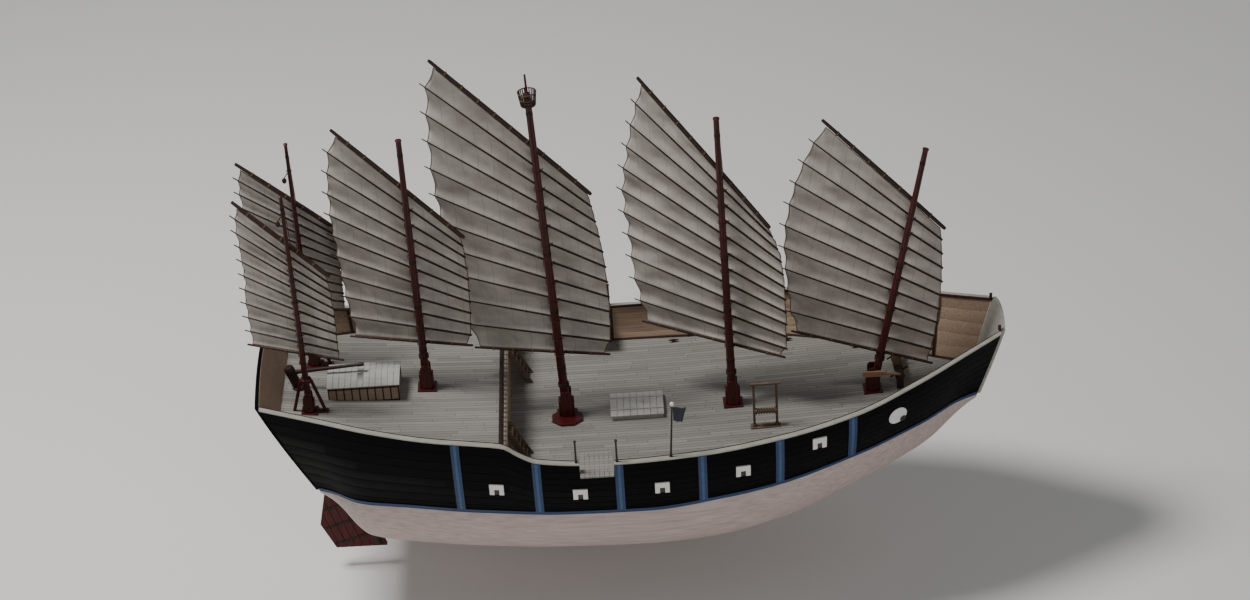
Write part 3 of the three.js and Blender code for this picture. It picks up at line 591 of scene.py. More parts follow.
CEDAR = wood("oiled_cedar", (40, 3, 3), [(0.3, "86664f"), (0.8, "a98a72")], (0.5, 0.65))
PALE_PAINT = paint("pale_grey_oil_paint", [(0.3, "918d84"), (0.75, "a6a299")])
ROOF_PAINT = paint("grey_white_oil_paint", [(0.3, "989690"), (0.75, "adaaa4")], (0.5, 0.7))
AZURE = paint("azure_enamel", [(0.3, "0a244b"), (0.75, "113563")])
# Light azure: the thin line along the band, and the risers' middle lines, which are partly painted highlight.
LIGHT_AZURE = paint("light_azure_enamel_and_highlight", [(0.3, "224876"), (0.75, "2e5a8a")])
WHITE_ENAMEL = paint("white_enamel", [(0.3, "dedbd5"), (0.75, "efede9")], (0.3, 0.45))
BLACK_ENAMEL = paint("black_enamel", [(0.3, "0a0a0b"), (0.75, "151517")], (0.25, 0.4))
SAILCLOTH = cotton_sailcloth()
PENNANT_SILK = paint("dark_blue_silk", [(0.3, "171a24"), (0.75, "232838")], (0.55, 0.7), (4, 4, 4))
HEMP = hemp_rope("hemp_rope", [(0.2, "4a3827"), (0.8, "7a6248")])
TARRED_HEMP = hemp_rope("tarred_hemp_rope", [(0.2, "27130f"), (0.8, "42251d")])
IRON = blackened_iron()


# Hull.

def planked(low, high, boards, depth):
    """Heights of a planked face from low to high, each with how deep it lies: a groove at every seam."""
    rows = [(low, 0.0)]
    for seam in range(1, boards):
        z = mix(low, high, seam / boards)
        rows += [(z - SEAM, 0.0), (z, depth), (z + SEAM, 0.0)]
    return rows + [(high, 0.0)]


def bottom_planking():
    """The white bottom: a flat floor and round bilges up to the paint line."""
    bilge = [math.pi / 2 * i / 16 for i in range(17)]
    shape = Shape()
    rings = []
    for station in HULL_STATIONS:
        half = paint_half(station)
        flat = flat_half(station)
        top = paint_z(station)
        keel = keel_z(station)
        side = [(mix(flat, half, math.cos(a)), mix(top, keel, math.sin(a))) for a in bilge]
        rings.append([hull_point(station, -1, out, z) for out, z in side]
                     + [hull_point(station, 1, out, z) for out, z in reversed(side)])
    shape.loft(rings)
    piece("bottom_planking", shape, [BOTTOM_PAINT], replaces=["hull_bottom"])


def topside_planking():
    """The black strakes of both sides, from the paint line to under the rail."""
    shape = Shape()
    for _, side in SIDES:
        rings = []
        for station in HULL_STATIONS:
            low = paint_z(station) + GAP
            high = under_rail(station)
            outer = [(z, -sunk) for z, sunk in planked(low, high, STRAKES, SEAM)]
            inner = [(z, -SKIN) for z in evenly(high, low, 6)]
            rings.append([skin_point(station, side, gate_top(station, z), off) for z, off in outer + inner])
        shape.loft(rings)
    piece("topside_planking", shape, [BLACK_LACQUER], replaces=["hull_topsides"])


def bulwark_lining(name, side):
    """Tan boards inside the bulwark, from under the deck to the rail."""
    shape = Shape()
    rings = []
    for station in HULL_STATIONS:
        low = deck_at(station) - DECK_PLATE
        high = under_rail(station)
        rows = planked(main_deck_z(station), high, LINING_BOARDS, SEAM)
        outer = [(z, -SKIN - GAP) for z in evenly(low, high, 6)]
        inner = [(max(z, low), sunk - BULWARK) for z, sunk in reversed(rows)]
        ring = [skin_point(station, side, gate_top(station, z), proud) for z, proud in outer + inner]
        rings.append(ring + [skin_point(station, side, low, -BULWARK)])
    shape.loft(rings)
    piece("bulwark_lining_" + name, shape, [LINING_PINE], replaces=["bulwark_" + name])


def bulwark_posts(name, side):
    """Dark posts against the lining at each stripe, and the dark waterway along its foot."""
    shape = Shape()
    half = 3
    thick = 4
    let_in = 1
    waterway = [(0, 0.5), (3.5, 0.5), (3.5, -2.5), (0, -3.5)]
    section = [(-half, -thick), (half, -thick), (half, let_in), (-half, let_in)]
    for station in POST_X:
        low = deck_at(station)
        high = under_rail(station)
        shape.loft([[skin_point(station + dx, side, z, dy - BULWARK) for dx, dy in section]
                    for z in (low, mix(low, high, 0.5), high)])
    for aft, fore in ((STERN_END, BREAK_X), (BREAK_X + 8, BOW_END)):
        shape.loft([[skin_point(station, side, deck_at(station) + dz, dy - BULWARK) for dz, dy in waterway]
                    for station in stations_between(aft, fore)])
    piece("bulwark_posts_" + name, shape, [DARK_TEAK], bevel=0.4)


def cap_rail(name, side):
    """The pale rail on the bulwark, aft and forward of the gate, with a dark bead of painted shade on its
    inner edge.
    """
    corner = 1.2
    bead = 2.4
    lip = 0.6
    for end, aft, fore in (("aft", STERN_END, GATE["aft"]), ("fore", GATE["fore"], BOW_END)):
        rail_rings = []
        shade_bead_rings = []
        for station in stations_between(aft, fore):
            top = gunwale_z(station)
            low = top - CAP_HEIGHT
            out = gunwale_half(station) + CAP_OVERHANG
            into = gunwale_half(station) - BULWARK - CAP_OVERHANG
            section = [(out - corner, top), (out, top - corner), (out, low + corner), (out - corner, low),
                       (into + bead, low), (into + bead, top)]
            rail_rings.append([hull_point(station, side, half, z) for half, z in section])
            # The bead is painted shade: its dark colour stands for the shade under the rail's inner edge.
            edge = [(into + bead, top + lip), (into + 0.5, top + lip), (into, top), (into, low - lip),
                    (into + bead, low - lip)]
            shade_bead_rings.append([hull_point(station, side, half, z) for half, z in edge])
        rail = Shape()
        rail.loft(rail_rings)
        piece(f"rail_{end}_{name}", rail, [PALE_PAINT], replaces=[f"cap_rail_{end}_{name}"])
        rail_shade_bead = Shape()
        rail_shade_bead.loft(shade_bead_rings)
        piece(f"rail_shade_bead_{end}_{name}", rail_shade_bead, [DARK_TEAK])


def blue_trim(name, side):
    """The blue band along the paint line and its six risers, each with a lighter line down its middle."""
    shape = Shape()

    def strip(stations, low_at, high_at, proud, finish, levels=8):
        rings = []
        for station in stations:
            heights = evenly(low_at(station), high_at(station), levels)
            rings.append([skin_point(station, side, z, proud) for z in heights]
                         + [skin_point(station, side, z, -GAP) for z in reversed(heights)])
        shape.loft(rings, finish)

    def foot(station):
        return paint_z(station) + GAP

    def band_top(station):
        return foot(station) + BAND["height"]

    def head(station):
        return gunwale_z(station) - CAP_HEIGHT - 1

    ends = stations_between(STERN_END, BOW_END)
    strip(ends, foot, band_top, BAND["proud"], 0, 2)
    strip(ends, lambda x: foot(x) + 0.2, lambda x: foot(x) + 1.8, LIGHT_LINE["proud"], 1, 2)
    # The risers' lighter middle lines are partly two-tone paint and partly painted highlight, standing for
    # the gloss down a rounded riser.
    for x in STRIPE_X:
        for colour, line in enumerate((BAND, LIGHT_LINE)):
            half = line["width"] / 2
            strip([x - half, x, x + half], band_top, head, line["proud"], colour)
    piece("blue_trim_" + name + "_paint", shape, [AZURE, LIGHT_AZURE],
          replaces=["blue_trim_" + name])


def side_frame(x, side, z):
    """A frame on the outside of the hull: its X along the ship, its Z up the side and its Y outwards."""
    centre = skin_point(x, side, z)
    along = (skin_point(x + 5, side, z) - skin_point(x - 5, side, z)).normalized()
    up = (skin_point(x, side, z + 5) - skin_point(x, side, z - 5)).normalized()
    out = along.cross(up) * -side
    out = out if out.y * side > 0 else -out
    turn = Matrix.Identity(4)
    for column, axis in enumerate((along, out.normalized(), up)):
        turn.col[column][:3] = axis
    turn.translation = centre
    return turn


def gunports(name, side):
    """White frames, open at the foot, around dark gunports."""
    shape = Shape()
    half = GUNPORT["size"] / 2
    proud = GUNPORT["proud"]
    leg = GUNPORT["leg"] - half
    lintel = half - GUNPORT["lintel"]
    let_in = -1
    for x, z in GUNPORTS:
        turn = side_frame(x, side, z)
        shape.board((-half, let_in, -half), (leg, proud, lintel), 0, turn)
        shape.board((-leg, let_in, -half), (half, proud, lintel), 0, turn)
        shape.board((-half, let_in, lintel), (half, proud + 0.2, half), 0, turn)
        shape.board((leg, let_in, -half), (-leg, 0.6, lintel), 1, turn)
    piece("gunports_" + name, shape, [WHITE_ENAMEL, BLACK_ENAMEL], bevel=0.5)


def painted_eye(name, side):
    """The white eye near the bow, domed, with its black pupil looking forward and down."""
    shape = Shape()
    points = 40
    dome = [(1.0, -0.5), (1.0, 0.6), (0.96, 0.85), (0.88, 0.95), (0.5, 1.0), (0.02, 1.02)]
    for colour, disc in enumerate((EYE, PUPIL)):
        rings = []
        for share, rise in dome:
            ring = []
            for i in range(points):
                angle = 2 * math.pi * i / points
                x = disc["x"] + disc["half_length"] * share * math.cos(angle)
                z = disc["z"] + disc["half_height"] * share * math.sin(angle)
                ring.append(skin_point(x, side, z, disc["proud"] * rise))
            rings.append(ring)
        shape.loft(rings, colour)
    piece("painted_eye_" + name, shape, [WHITE_ENAMEL, BLACK_ENAMEL],
          replaces=["eye_" + name])


def deck_planks(name, stations, height_at):
    """A deck of fore-and-aft boards with a caulked groove between each two."""
    shape = Shape()
    boards = 34
    groove = 0.4
    rings = []
    for station in stations:
        z = height_at(station)
        half = half_at(station, z - DECK_PLATE) - BULWARK - 2 * GAP
        top = []
        for seam in range(-boards, boards + 1):
            for offset, sunk in ((-groove, 0), (0, SEAM), (groove, 0)):
                y = min(max(seam * DECK_BOARD + offset, -half), half)
                top.append((y, z - (sunk if abs(y) < half else 0)))
        section = [(-half, z - DECK_PLATE), (-half, z), *top, (half, z), (half, z - DECK_PLATE)]
        rings.append([hull_point(station, 1, y, height) for y, height in section])
    shape.loft(rings)
    piece(name + "_planks", shape, [DECK_PINE], replaces=[name])


def end_board(name, end, foot, finishes):
    """Planks across one end of the hull, leaning with it, crowned on top, with a lining on their inside."""
    outside = end * HALF_LENGTH
    between = end * (HALF_LENGTH - END_BOARD + 1)
    inside = end * (HALF_LENGTH - END_BOARD)
    layers = [(outside, between, 0), (between - end * 0.1, inside, BULWARK)]
    half_top = gunwale_half(outside)
    top = gunwale_z(outside)
    across = [i / 12 for i in range(-12, 13)]
    shape = Shape()
    boards = 7
    for board in range(boards):
        low = mix(foot, top, board / boards) + (PARTING if board else 0)
        high = mix(foot, top, (board + 1) / boards) - PARTING
        last = board == boards - 1
        for layer, (near, far, inset) in enumerate(layers):
            half_low = half_at(outside, low) - inset
            half_high = (half_top if last else half_at(outside, high)) - inset
            outline = [(share * half_low, low) for share in across]
            for share in reversed(across):
                crown = top + TRANSOM_CROWN * (1 - share * share) - inset / 5
                outline.append((share * half_high, crown if last else high))
            shape.loft([[hull_point(station, 1, y, z) for y, z in outline] for station in (near, far)], layer)
    piece(name + "_boards", shape, finishes, replaces=[name], bevel=0.5)


def end_board_border(name, end, foot, inset, finish):
    """A raised border round the outside of an end board: over its crown, down, across its foot and up."""
    outside = end * HALF_LENGTH
    half_top = gunwale_half(outside) - inset
    half_foot = half_at(outside, foot) - inset
    high = gunwale_z(outside) - inset
    low = foot + inset
    crown = [i / 12 for i in range(-12, 13)]
    down = [mix(high, low, i / 8) for i in range(1, 9)]
    up = [mix(low, high, i / 8) for i in range(8)]
    line = [(share * half_top, high + TRANSOM_CROWN * (1 - share * share)) for share in crown]
    line += [(half_at(outside, z) - inset, z) for z in down]
    line += [(mix(half_foot, -half_foot, i / 12), low) for i in range(1, 12)]
    line += [(inset - half_at(outside, z), z) for z in up]
    shape = Shape()
    shape.rope([hull_point(outside, 1, y, z) for y, z in line], 1.8, 0, 8, closed=True)
    piece(name + "_border", shape, [finish])


def quarterdeck_front():
    """Tan boards that close the step between the decks."""
    low, high = box_of("quarterdeck_bulkhead")
    shape = Shape()
    for near, far in side_by_side(low.y, high.y, 22, 0.25):
        shape.board((low.x, near, low.z), (high.x, far, high.z))
    piece("quarterdeck_front_boards", shape, [LINING_PINE],
          replaces=["quarterdeck_bulkhead"], bevel=0.4)


def turned_balustrade():
    """Turned balusters between a sole and a handrail at the front of the quarterdeck."""
    low, high = box_of("balustrade")
    middle = (low.x + high.x) / 2
    shape = Shape()
    shape.board((middle - 3, low.y, low.z), (middle + 3, high.y, low.z + 3.5))
    shape.board((middle - 3, low.y, high.z - 4), (middle + 3, high.y, high.z))
    profile = [(0, 1.9), (0.12, 1.9), (0.14, 1.3), (0.3, 2.2), (0.42, 2.4), (0.6, 1.4), (0.8, 1.2),
               (0.88, 1.9), (1, 1.9)]
    for y in evenly(low.y + 3, high.y - 3, 32):
        shape.turned((middle, y, low.z + 3), (middle, y, high.z - 3.5), profile, 0, 10)
    for y in (low.y + 2, 0, high.y - 2):
        shape.post(middle, y, 3.4, 3, low.z, high.z + 0.3)
    piece("turned_balustrade", shape, [DARK_TEAK], replaces=["balustrade"], bevel=0.4)


def deck_ladder(name, y):
    """A ladder from the quarterdeck to the main deck."""
    foot = main_deck_z(BREAK_X) + GAP
    rise = quarterdeck_z(BREAK_X) - foot
    run = 46
    steps = 6
    start = BREAK_X + 5.5
    end = start + run
    outline = [(start, foot + rise), (start, foot + rise - 16), (end - 14, foot), (end, foot),
               (start + 4, foot + rise)]
    shape = Shape()
    for cheek in (y - 21, y + 18):
        shape.slab(outline, "y", (cheek, cheek + 3))
    for i in range(1, steps):
        z = foot + rise * i / steps
        x = end - 6 - (run - 8) * i / steps
        shape.board((x - 9, y - 19, z - 2), (x + 1, y + 19, z))
    piece("deck_ladder_" + name, shape, [WEATHERED_ELM], replaces=["ladder_" + name],
          bevel=0.4)


def boarding_step(name):
    """The boarding platform in the gate: seven boards on two bearers."""
    low, high = box_of("boarding_platform_" + name)
    shape = Shape()
    for aft, fore in side_by_side(low.x, high.x, 7):
        shape.board((aft, low.y, low.z + 2.2), (fore, high.y, high.z))
    for share in (0.12, 0.82):
        y = mix(low.y, high.y, share)
        shape.board((low.x, y, low.z), (high.x, y + 5, low.z + 2.2))
    piece("boarding_step_" + name, shape, [DECK_PINE],
          replaces=["boarding_platform_" + name], bevel=0.4)


# Deck fittings.

def cabin_skylight():
    """The low cabin top: tan lattice walls under a pitched, grey-white boarded roof."""
    low, high = box_of("cabin_skylight")
    ridge = 8
    reach = 3
    eaves = high.z - ridge + 1
    middle = (low.y + high.y) / 2
    aft, fore = low.x + reach, high.x - reach
    near, far = low.y + reach, high.y - reach
    shape = Shape()
    shape.board((aft, near, low.z), (fore, far, eaves - 2), 1)
    for x in evenly(aft, fore, 9):
        for y in (near - 0.8, far - 1.2):
            shape.board((x - 1.2, y, low.z), (x + 1.2, y + 2, eaves - 1), 2)
    for z in (low.z, eaves - 8):
        for y in (near - 1, far - 1.4):
            shape.board((aft, y, z), (fore, y + 2.4, z + 3.2), 2)
    for ends in side_by_side(low.x, high.x, 12, 0.25):
        for edge in (low.y, high.y):
            slope = [(edge, eaves - 2), (edge, eaves), (middle, high.z), (middle, high.z - 2.4)]
            shape.slab(slope, "x", ends)
    shape.board((low.x, middle - 2, high.z - 2.5), (high.x, middle + 2, high.z))
    piece("cabin_top", shape, [ROOF_PAINT, LINING_PINE, DARK_TEAK],
          replaces=["cabin_skylight"], bevel=0.3)


def main_hatch():
    """The main hatch: a coaming with a pale lip, and loose lid boards held by two battens."""
    low, high = box_of("main_hatch")
    ridge = 4
    reach = 3
    lip = high.z - ridge
    crown = high.z - 0.6
    middle = (low.y + high.y) / 2
    shape = Shape()
    shape.board((low.x + reach, low.y + reach, low.z), (high.x - reach, high.y - reach, lip - 1))
    section = [(low.y, lip - 2), (low.y, lip + 1), (middle, crown), (high.y, lip + 1), (high.y, lip - 2)]
    for ends in side_by_side(low.x, high.x, 8):
        shape.slab(section, "x", ends)
    for share in (0.25, 0.75):
        y = mix(low.y, high.y, share)
        shape.board((low.x, y - 2, mix(lip + 1, crown, 0.5)), (high.x, y + 2, high.z - 0.2), 1)
    piece("hatch_lid", shape, [ROOF_PAINT, PALE_PAINT], replaces=["main_hatch"], bevel=0.4)


def halyard_winch():
    """The halyard winch: two posts under a cross head, and a rope-wound drum low between them."""
    low, high = box_of("halyard_winch")
    middle = (low.y + high.y) / 2
    ends = (low.x + 8, high.x - 8)
    shape = Shape()
    shape.board((low.x, low.y, low.z), (high.x, high.y, low.z + 3))
    shape.board((low.x, middle - 3, high.z - 4), (high.x, middle + 3, high.z))
    for x in ends:
        shape.post(x, middle, 2.4, 2.4, low.z, high.z - 3)
        shape.post(x, middle, 3.4, 5, low.z + 2, low.z + 7)
    axle = mix(low.z, high.z, 0.36)
    drum = [(0, 7), (0.12, 7), (0.13, 5), (0.87, 5), (0.88, 7), (1, 7)]
    shape.turned((ends[0], middle, axle), (ends[1], middle, axle), drum)
    for x in evenly(low.x + 17, high.x - 17, 5):
        shape.hoop((x, middle, axle), (1, 0.04, 0), 5.8, 1.3, 1, 18)
    piece("winch", shape, [WEATHERED_ELM, HEMP], replaces=["halyard_winch"], bevel=0.5)


def anchor_windlass():
    """The anchor windlass: two posts with chamfered heads, a rope-wound barrel and the bars that turn it."""
    low, high = box_of("anchor_windlass")
    middle = (low.x + high.x) / 2
    ends = (low.y + 4, high.y - 4)
    shape = Shape()
    for y in ends:
        shape.post(middle, y, 7, 4, low.z, high.z - 3)
        shape.loft([[Vector((middle + dx * half_x, y + dy * half_y, z))
                     for dx, dy in ((-1, -1), (1, -1), (1, 1), (-1, 1))]
                    for half_x, half_y, z in ((7, 4, high.z - 3), (4, 2, high.z))])
    axle = mix(low.z, high.z, 0.64)
    barrel = [(0, 10), (0.1, 10), (0.11, 8), (0.4, 7.4), (0.6, 7.4), (0.89, 8), (0.9, 10), (1, 10)]
    shape.turned((middle, ends[0], axle), (middle, ends[1], axle), barrel)
    for share in (0.2, 0.8):
        y = mix(low.y, high.y, share)
        shape.rope([(middle - 18, y, axle - 12), (middle + 18, y, axle + 12)], 2, 0, 8)
    for y in evenly(low.y + 36, high.y - 36, 10):
        shape.hoop((middle, y, axle), (0.03, 1, 0), 8.6, 1.5, 1, 18)
    piece("windlass", shape, [DARK_TEAK, HEMP], replaces=["anchor_windlass"], bevel=0.6)


def deck_tackle():
    """Belaying cleats, the bow bitts and the gate posts."""
    shape = Shape()
    horns = [(0, 1), (0.25, 2), (0.5, 2.6), (0.75, 2), (1, 1)]
    bitt = [(0, 3.2), (0.5, 3.2), (0.6, 2.4), (0.7, 2.4), (0.78, 3.4), (0.95, 3.4), (1, 2)]
    gate_post = [(0, 3), (0.06, 3), (0.08, 2.1), (0.9, 1.8), (0.93, 2.9), (0.98, 2.9), (1, 1)]
    for x in CLEAT_X:
        for side in (-1, 1):
            z = deck_at(x)
            y = side * (half_at(x, z) - BULWARK - 22)
            shape.post(x, y, 4, 2.5, z, z + 4)
            shape.turned((x - 11, y, z + 5), (x + 11, y, z + 5), horns, 0, 10)
    for side in (-1, 1):
        foot = hull_point(HALF_LENGTH - 12, side, gunwale_half(HALF_LENGTH) - 4, gunwale_z(HALF_LENGTH))
        shape.turned(foot, foot + Vector((0, 0, 11)), bitt, 0, 14)
        for x in (GATE["aft"] - 6, GATE["fore"] + 6):
            foot = hull_point(x, side, gunwale_half(x) - BULWARK / 2, gunwale_z(x))
            shape.turned(foot, foot + Vector((0, 0, 52)), gate_post, 0, 10)
    piece("cleats_and_posts", shape, [DARK_TEAK], bevel=0.3)


def mast_partner(rig):
    """A cedar board across the starboard cheek of the bow mast's step, with a strut to the windlass."""
    x, y, z = rig["foot"]
    scale = step_scale(rig)
    cheek = y - STEP["side"] * scale - 1.2
    top = z + STEP["height"] * scale
    low, high = box_of("anchor_windlass")
    post = Vector(((low.x + high.x) / 2, low.y + 2, high.z - 8))
    shape = Shape()
    shape.board((x - 22, cheek - 5, top - 17), (x + 24, cheek, top - 5))
    shape.rope([(x + 20, cheek - 3, top - 10), post], 3.2, 0, 10)
    piece("mast_partner", shape, [CEDAR], bevel=0.6)


def pennant_staff():
    """A thin staff with a white truck on the starboard rail, and its small dark pennant."""
    x = PENNANT["x"]
    foot = hull_point(x, -1, gunwale_half(x) - BULWARK / 2, gunwale_z(x))
    head = foot + Vector((PENNANT["lean"], 0, PENNANT["height"]))
    staff = Shape()
    staff.turned(foot, head, [(0, 3), (0.04, 3), (0.05, 2.1), (1, 1.5)], 0, 12)
    truck = [(0, 1.5), (0.15, 3.2), (0.5, 4.2), (0.85, 3.2), (1, 1)]
    staff.turned(head, head + Vector((0, 0, 9)), truck, 1)
    staff_piece = piece("pennant_staff", staff, [DARK_TEAK, WHITE_ENAMEL])
    width = PENNANT["width"]
    drop = PENNANT["drop"]
    rows = []
    for v in evenly(0, 1, 20):
        row = []
        for u in evenly(0, 1, 16):
            reach = width * u * (1 - 0.35 * v)
            wave = 3.2 * math.sin(u * 7 + v * 2.2) * u
            row.append(head + Vector((1.5 + reach, wave, -3 - drop * v - 7 * u * (0.4 + v * 0.6))))
        rows.append(row)
    cloth = Shape()
    cloth.sheet(rows)
    pennant = piece("pennant", cloth, [PENNANT_SILK], crease=180)
    thicken(pennant)


def thicken(cloth):
    """Gives a cloth its thickness, evenly to both sides."""
    layer = cloth.modifiers.new("cloth_thickness", "SOLIDIFY")
    layer.thickness = CLOTH * MM
    layer.offset = 0


# Masts.

def rig_axes(rig):
    """The directions of a rig: up its mast, ahead along its sail, and out of the sail to port."""
    rake = math.radians(rig["rake"])
    swing = math.radians(rig["swing"])
    up = Vector((math.sin(rake), 0, math.cos(rake)))
    ahead = Vector((math.cos(rake), 0, -math.sin(rake)))
    port = Vector((0, 1, 0))
    along = ahead * math.cos(swing) - port * math.sin(swing)
    normal = ahead * math.sin(swing) + port * math.cos(swing)
    return up, along, normal


def mast_radius(rig, height):
    return mix(rig["thick"], rig["thin"], height / rig["height"])


def mast_point(rig, height):
    return Vector(rig["foot"]) + rig_axes(rig)[0] * height


def radius_at_boom(rig):
    """The mast's radius where its boom crosses it."""
    return mast_radius(rig, (rig["tack"][1] + rig["clew"][1]) / 2)


def sail_point(rig, along, height, off=0.0):
    """A point of the sail's own plane, or that far off it to port."""
    up, ahead, normal = rig_axes(rig)
    clear = radius_at_boom(rig) + SPAR_CLEARANCE + BOOM_RADIUS
    return Vector(rig["foot"]) + normal * (clear + off) + ahead * along + up * height


def yard_radius(rig):
    """The yard fills the room between the mast and the sail's plane."""
    return radius_at_boom(rig) + BOOM_RADIUS - mast_radius(rig, yard_crossing(rig))


def yard_crossing(rig):
    """How high up the mast the yard crosses it."""
    slope = (rig["peak"][1] - rig["throat"][1]) / (rig["peak"][0] - rig["throat"][0])
    return rig["throat"][1] - slope * rig["throat"][0]


def step_scale(rig):
    """A mast's step is as large as the main mast's, in the ratio of their thicknesses."""
    return rig["thick"] / MAIN_RIG["thick"]


def halyard_fall(rig):
    """The halyard's two falls with their belayed turns and block, and the hung block of a quarter mast."""
    name = rig["name"]
    up, _, _ = rig_axes(rig)
    shape = Shape()
    block = (BASKET["low"] if name == "main" else rig["height"]) - HALYARD["below_head"]
    side = Vector((0, -1, 0))
    top = mast_point(rig, block) + side * (mast_radius(rig, block) + 2.2)
    low = mast_point(rig, HALYARD["foot"]) + side * (rig["thick"] + 4.5)
    for shift in (-1.2, 1.2):
        shape.rope([top + Vector((shift, 0, 0)), low + Vector((shift, 0, 0))], 0.7)
    for turn in range(5):
        shape.hoop(mast_point(rig, HALYARD["belayed"] + turn * 1.7), up, rig["thick"] + 1.0, 0.9, 0, 22)
    shell = [(0, 0.8), (0.2, 2.4), (0.5, 2.8), (0.8, 2.4), (1, 0.8)]
    shape.turned(top - up * 7, top + up * 5, shell, 1, 12)
    if name.startswith("quarter"):
        at = QUARTER_BLOCK["up"]
        radius = QUARTER_BLOCK["radius"]
        tied = mast_point(rig, at + 22)
        hung = mast_point(rig, at) - Vector((QUARTER_BLOCK["aft"], 0, 0))
        shell = [(0, 0.3 * radius), (0.2, 0.8 * radius), (0.5, radius), (0.8, 0.8 * radius),
                 (1, 0.3 * radius)]
        shape.turned(hung - up * 6, hung + up * 6, shell, 1)
        shape.rope([hung + up * 5, tied], 1.0)
        shape.hoop(tied, up, mast_radius(rig, at) + 0.8, 0.9)
    piece("halyard_fall_" + name, shape, [TARRED_HEMP, DARK_TEAK])


def masts(rig):
    """A tapered, varnished mast with iron hoops, and a truck or, on the main mast, a thin topmast."""
    name = rig["name"]
    height = rig["height"]
    thin = rig["thin"]
    head = height
    profile = [(0, rig["thick"])]
    profile += [(height * i / 12, mast_radius(rig, height * i / 12)) for i in range(1, 13)]
    if name == "main":
        head = TOPMAST["head"]
        radius = TOPMAST["radius"]
        profile += [(height + 1, radius), (head - 4, radius * 0.8), (head - 2, radius), (head, 0.6)]
    else:
        profile[-1] = (height - 5, thin)
        profile += [(height - 4, thin + 1), (height - 1.5, thin + 1), (height, thin * 0.6)]
    shape = Shape()
    shape.turned(mast_point(rig, 0), mast_point(rig, head), [(d / head, r) for d, r in profile], 0, 24)
    for level in MAST_HOOP["levels"]:
        at = height * level
        radius = mast_radius(rig, at)
        proud = radius + MAST_HOOP["proud"]
        low = mast_point(rig, at - MAST_HOOP["half_height"])
        high = mast_point(rig, at + MAST_HOOP["half_height"])
        shape.turned(low, high, [(0, radius), (0.02, proud), (0.98, proud), (1, radius)], 1, 24)
    piece("pole_mast_" + name, shape, [MAST_MAHOGANY, IRON], replaces=["mast_" + name])


def mast_step(rig):
    """A mast's step: sole, block, chamfered cheeks and wedges, some on a plinth or between props."""
    name = rig["name"]
    thick = rig["thick"]
    scale = step_scale(rig)
    x, y, z = rig["foot"]
    z += GAP
    half = STEP["side"] * scale
    reach = STEP["ahead"] * scale
    high = STEP["height"] * scale
    shape = Shape()
    shape.post(x, y, reach + 5, half + 5, z, z + 3.6)
    shape.post(x, y, reach, half - STEP["cheek"], z, z + high * 0.62 - GAP)
    cheek = [(-reach * 0.7, 0), (reach * 0.7, 0), (reach * 0.7, high - 6), (reach * 0.4, high - GAP),
             (-reach * 0.4, high - GAP), (-reach * 0.7, high - 6)]
    for side in (-1, 1):
        ends = sorted((y + side * half, y + side * (half - STEP["cheek"])))
        shape.slab([(x + dx, z + dz) for dx, dz in cheek], "y", ends)
        for bolt in (z + high * 0.3, z + high * 0.85):
            shape.turned((x, ends[0] - 0.8, bolt), (x, ends[1] + 0.8, bolt), [(0, 2.2), (1, 2.2)], 1, 12)
    low = high * 0.6
    for end in (-1, 1):
        wedge = [(thick + 0.5, low), (thick + 4, low), (thick + 2.6, low + 7), (thick + 0.5, low + 7)]
        shape.slab([(x + end * dx, z + dz) for dx, dz in wedge], "y", (y - 4, y + 4))
    if name == "main":
        middle = y - PLINTH["off"]
        angles = [math.pi * (i + 0.5) / 4 for i in range(8)]
        octagon = [(x + PLINTH["half_length"] * math.cos(a), middle + PLINTH["half_width"] * math.sin(a))
                   for a in angles]
        shape.slab(octagon, "z", (z, z + PLINTH["thick"]))
    if name.startswith("quarter"):
        spread = PROP["spread"]
        height = PROP["height"]
        collar = thick + PROP["collar"]
        shape.turned(mast_point(rig, height - 5), mast_point(rig, height + 5),
                     [(0, collar - 1), (0.15, collar), (0.85, collar), (1, collar - 1)], 0, 20)
        shape.post(x, y, spread + 6, 6, z, z + 3)
        for end in (-1, 1):
            top = mast_point(rig, height) + Vector((end * (thick + PROP["radius"]), 0, 0))
            shape.rope([Vector((x + end * spread, y, z)), top], PROP["radius"], 0, 12)
    piece("step_" + name, shape, [MAST_MAHOGANY, IRON], replaces=["mast_step_" + name],
          bevel=0.6)


def lookout_basket(rig):
    """The lookout's basket: upright staves between hoops, on a turned floor."""
    low = BASKET["low"]
    high = BASKET["high"]
    radius = BASKET["radius"]
    floor = radius * 0.8
    up, _, _ = rig_axes(rig)
    across = up.orthogonal().normalized()
    other = up.cross(across)
    foot = mast_point(rig, low)
    head = mast_point(rig, high)
    shape = Shape()
    shape.turned(foot, mast_point(rig, low + 3), [(0, radius * 0.78), (0.5, floor), (1, floor)], 0, 32)
    staves = 24
    for i in range(staves):
        angle = 2 * math.pi * i / staves
        way = across * math.cos(angle) + other * math.sin(angle)
        shape.rope([foot + way * (floor - 1.2), head + way * (radius - 1.2)], 1.1, 0, 8)
    for level, share in ((low + 1.5, 0.8), (mix(low, high, 0.5), 0.9), (high - 1.5, 1.0)):
        shape.hoop(mast_point(rig, level), up, radius * share - 1.1, 1.2, 1, 40)
    shape.hoop(mast_point(rig, low + 4), up, mast_radius(rig, low) + GAP + 1.5, 1.4, 1, 24)
    piece("basket", shape, [DARK_TEAK, HEMP], replaces=["lookout_basket"])


# Sails.

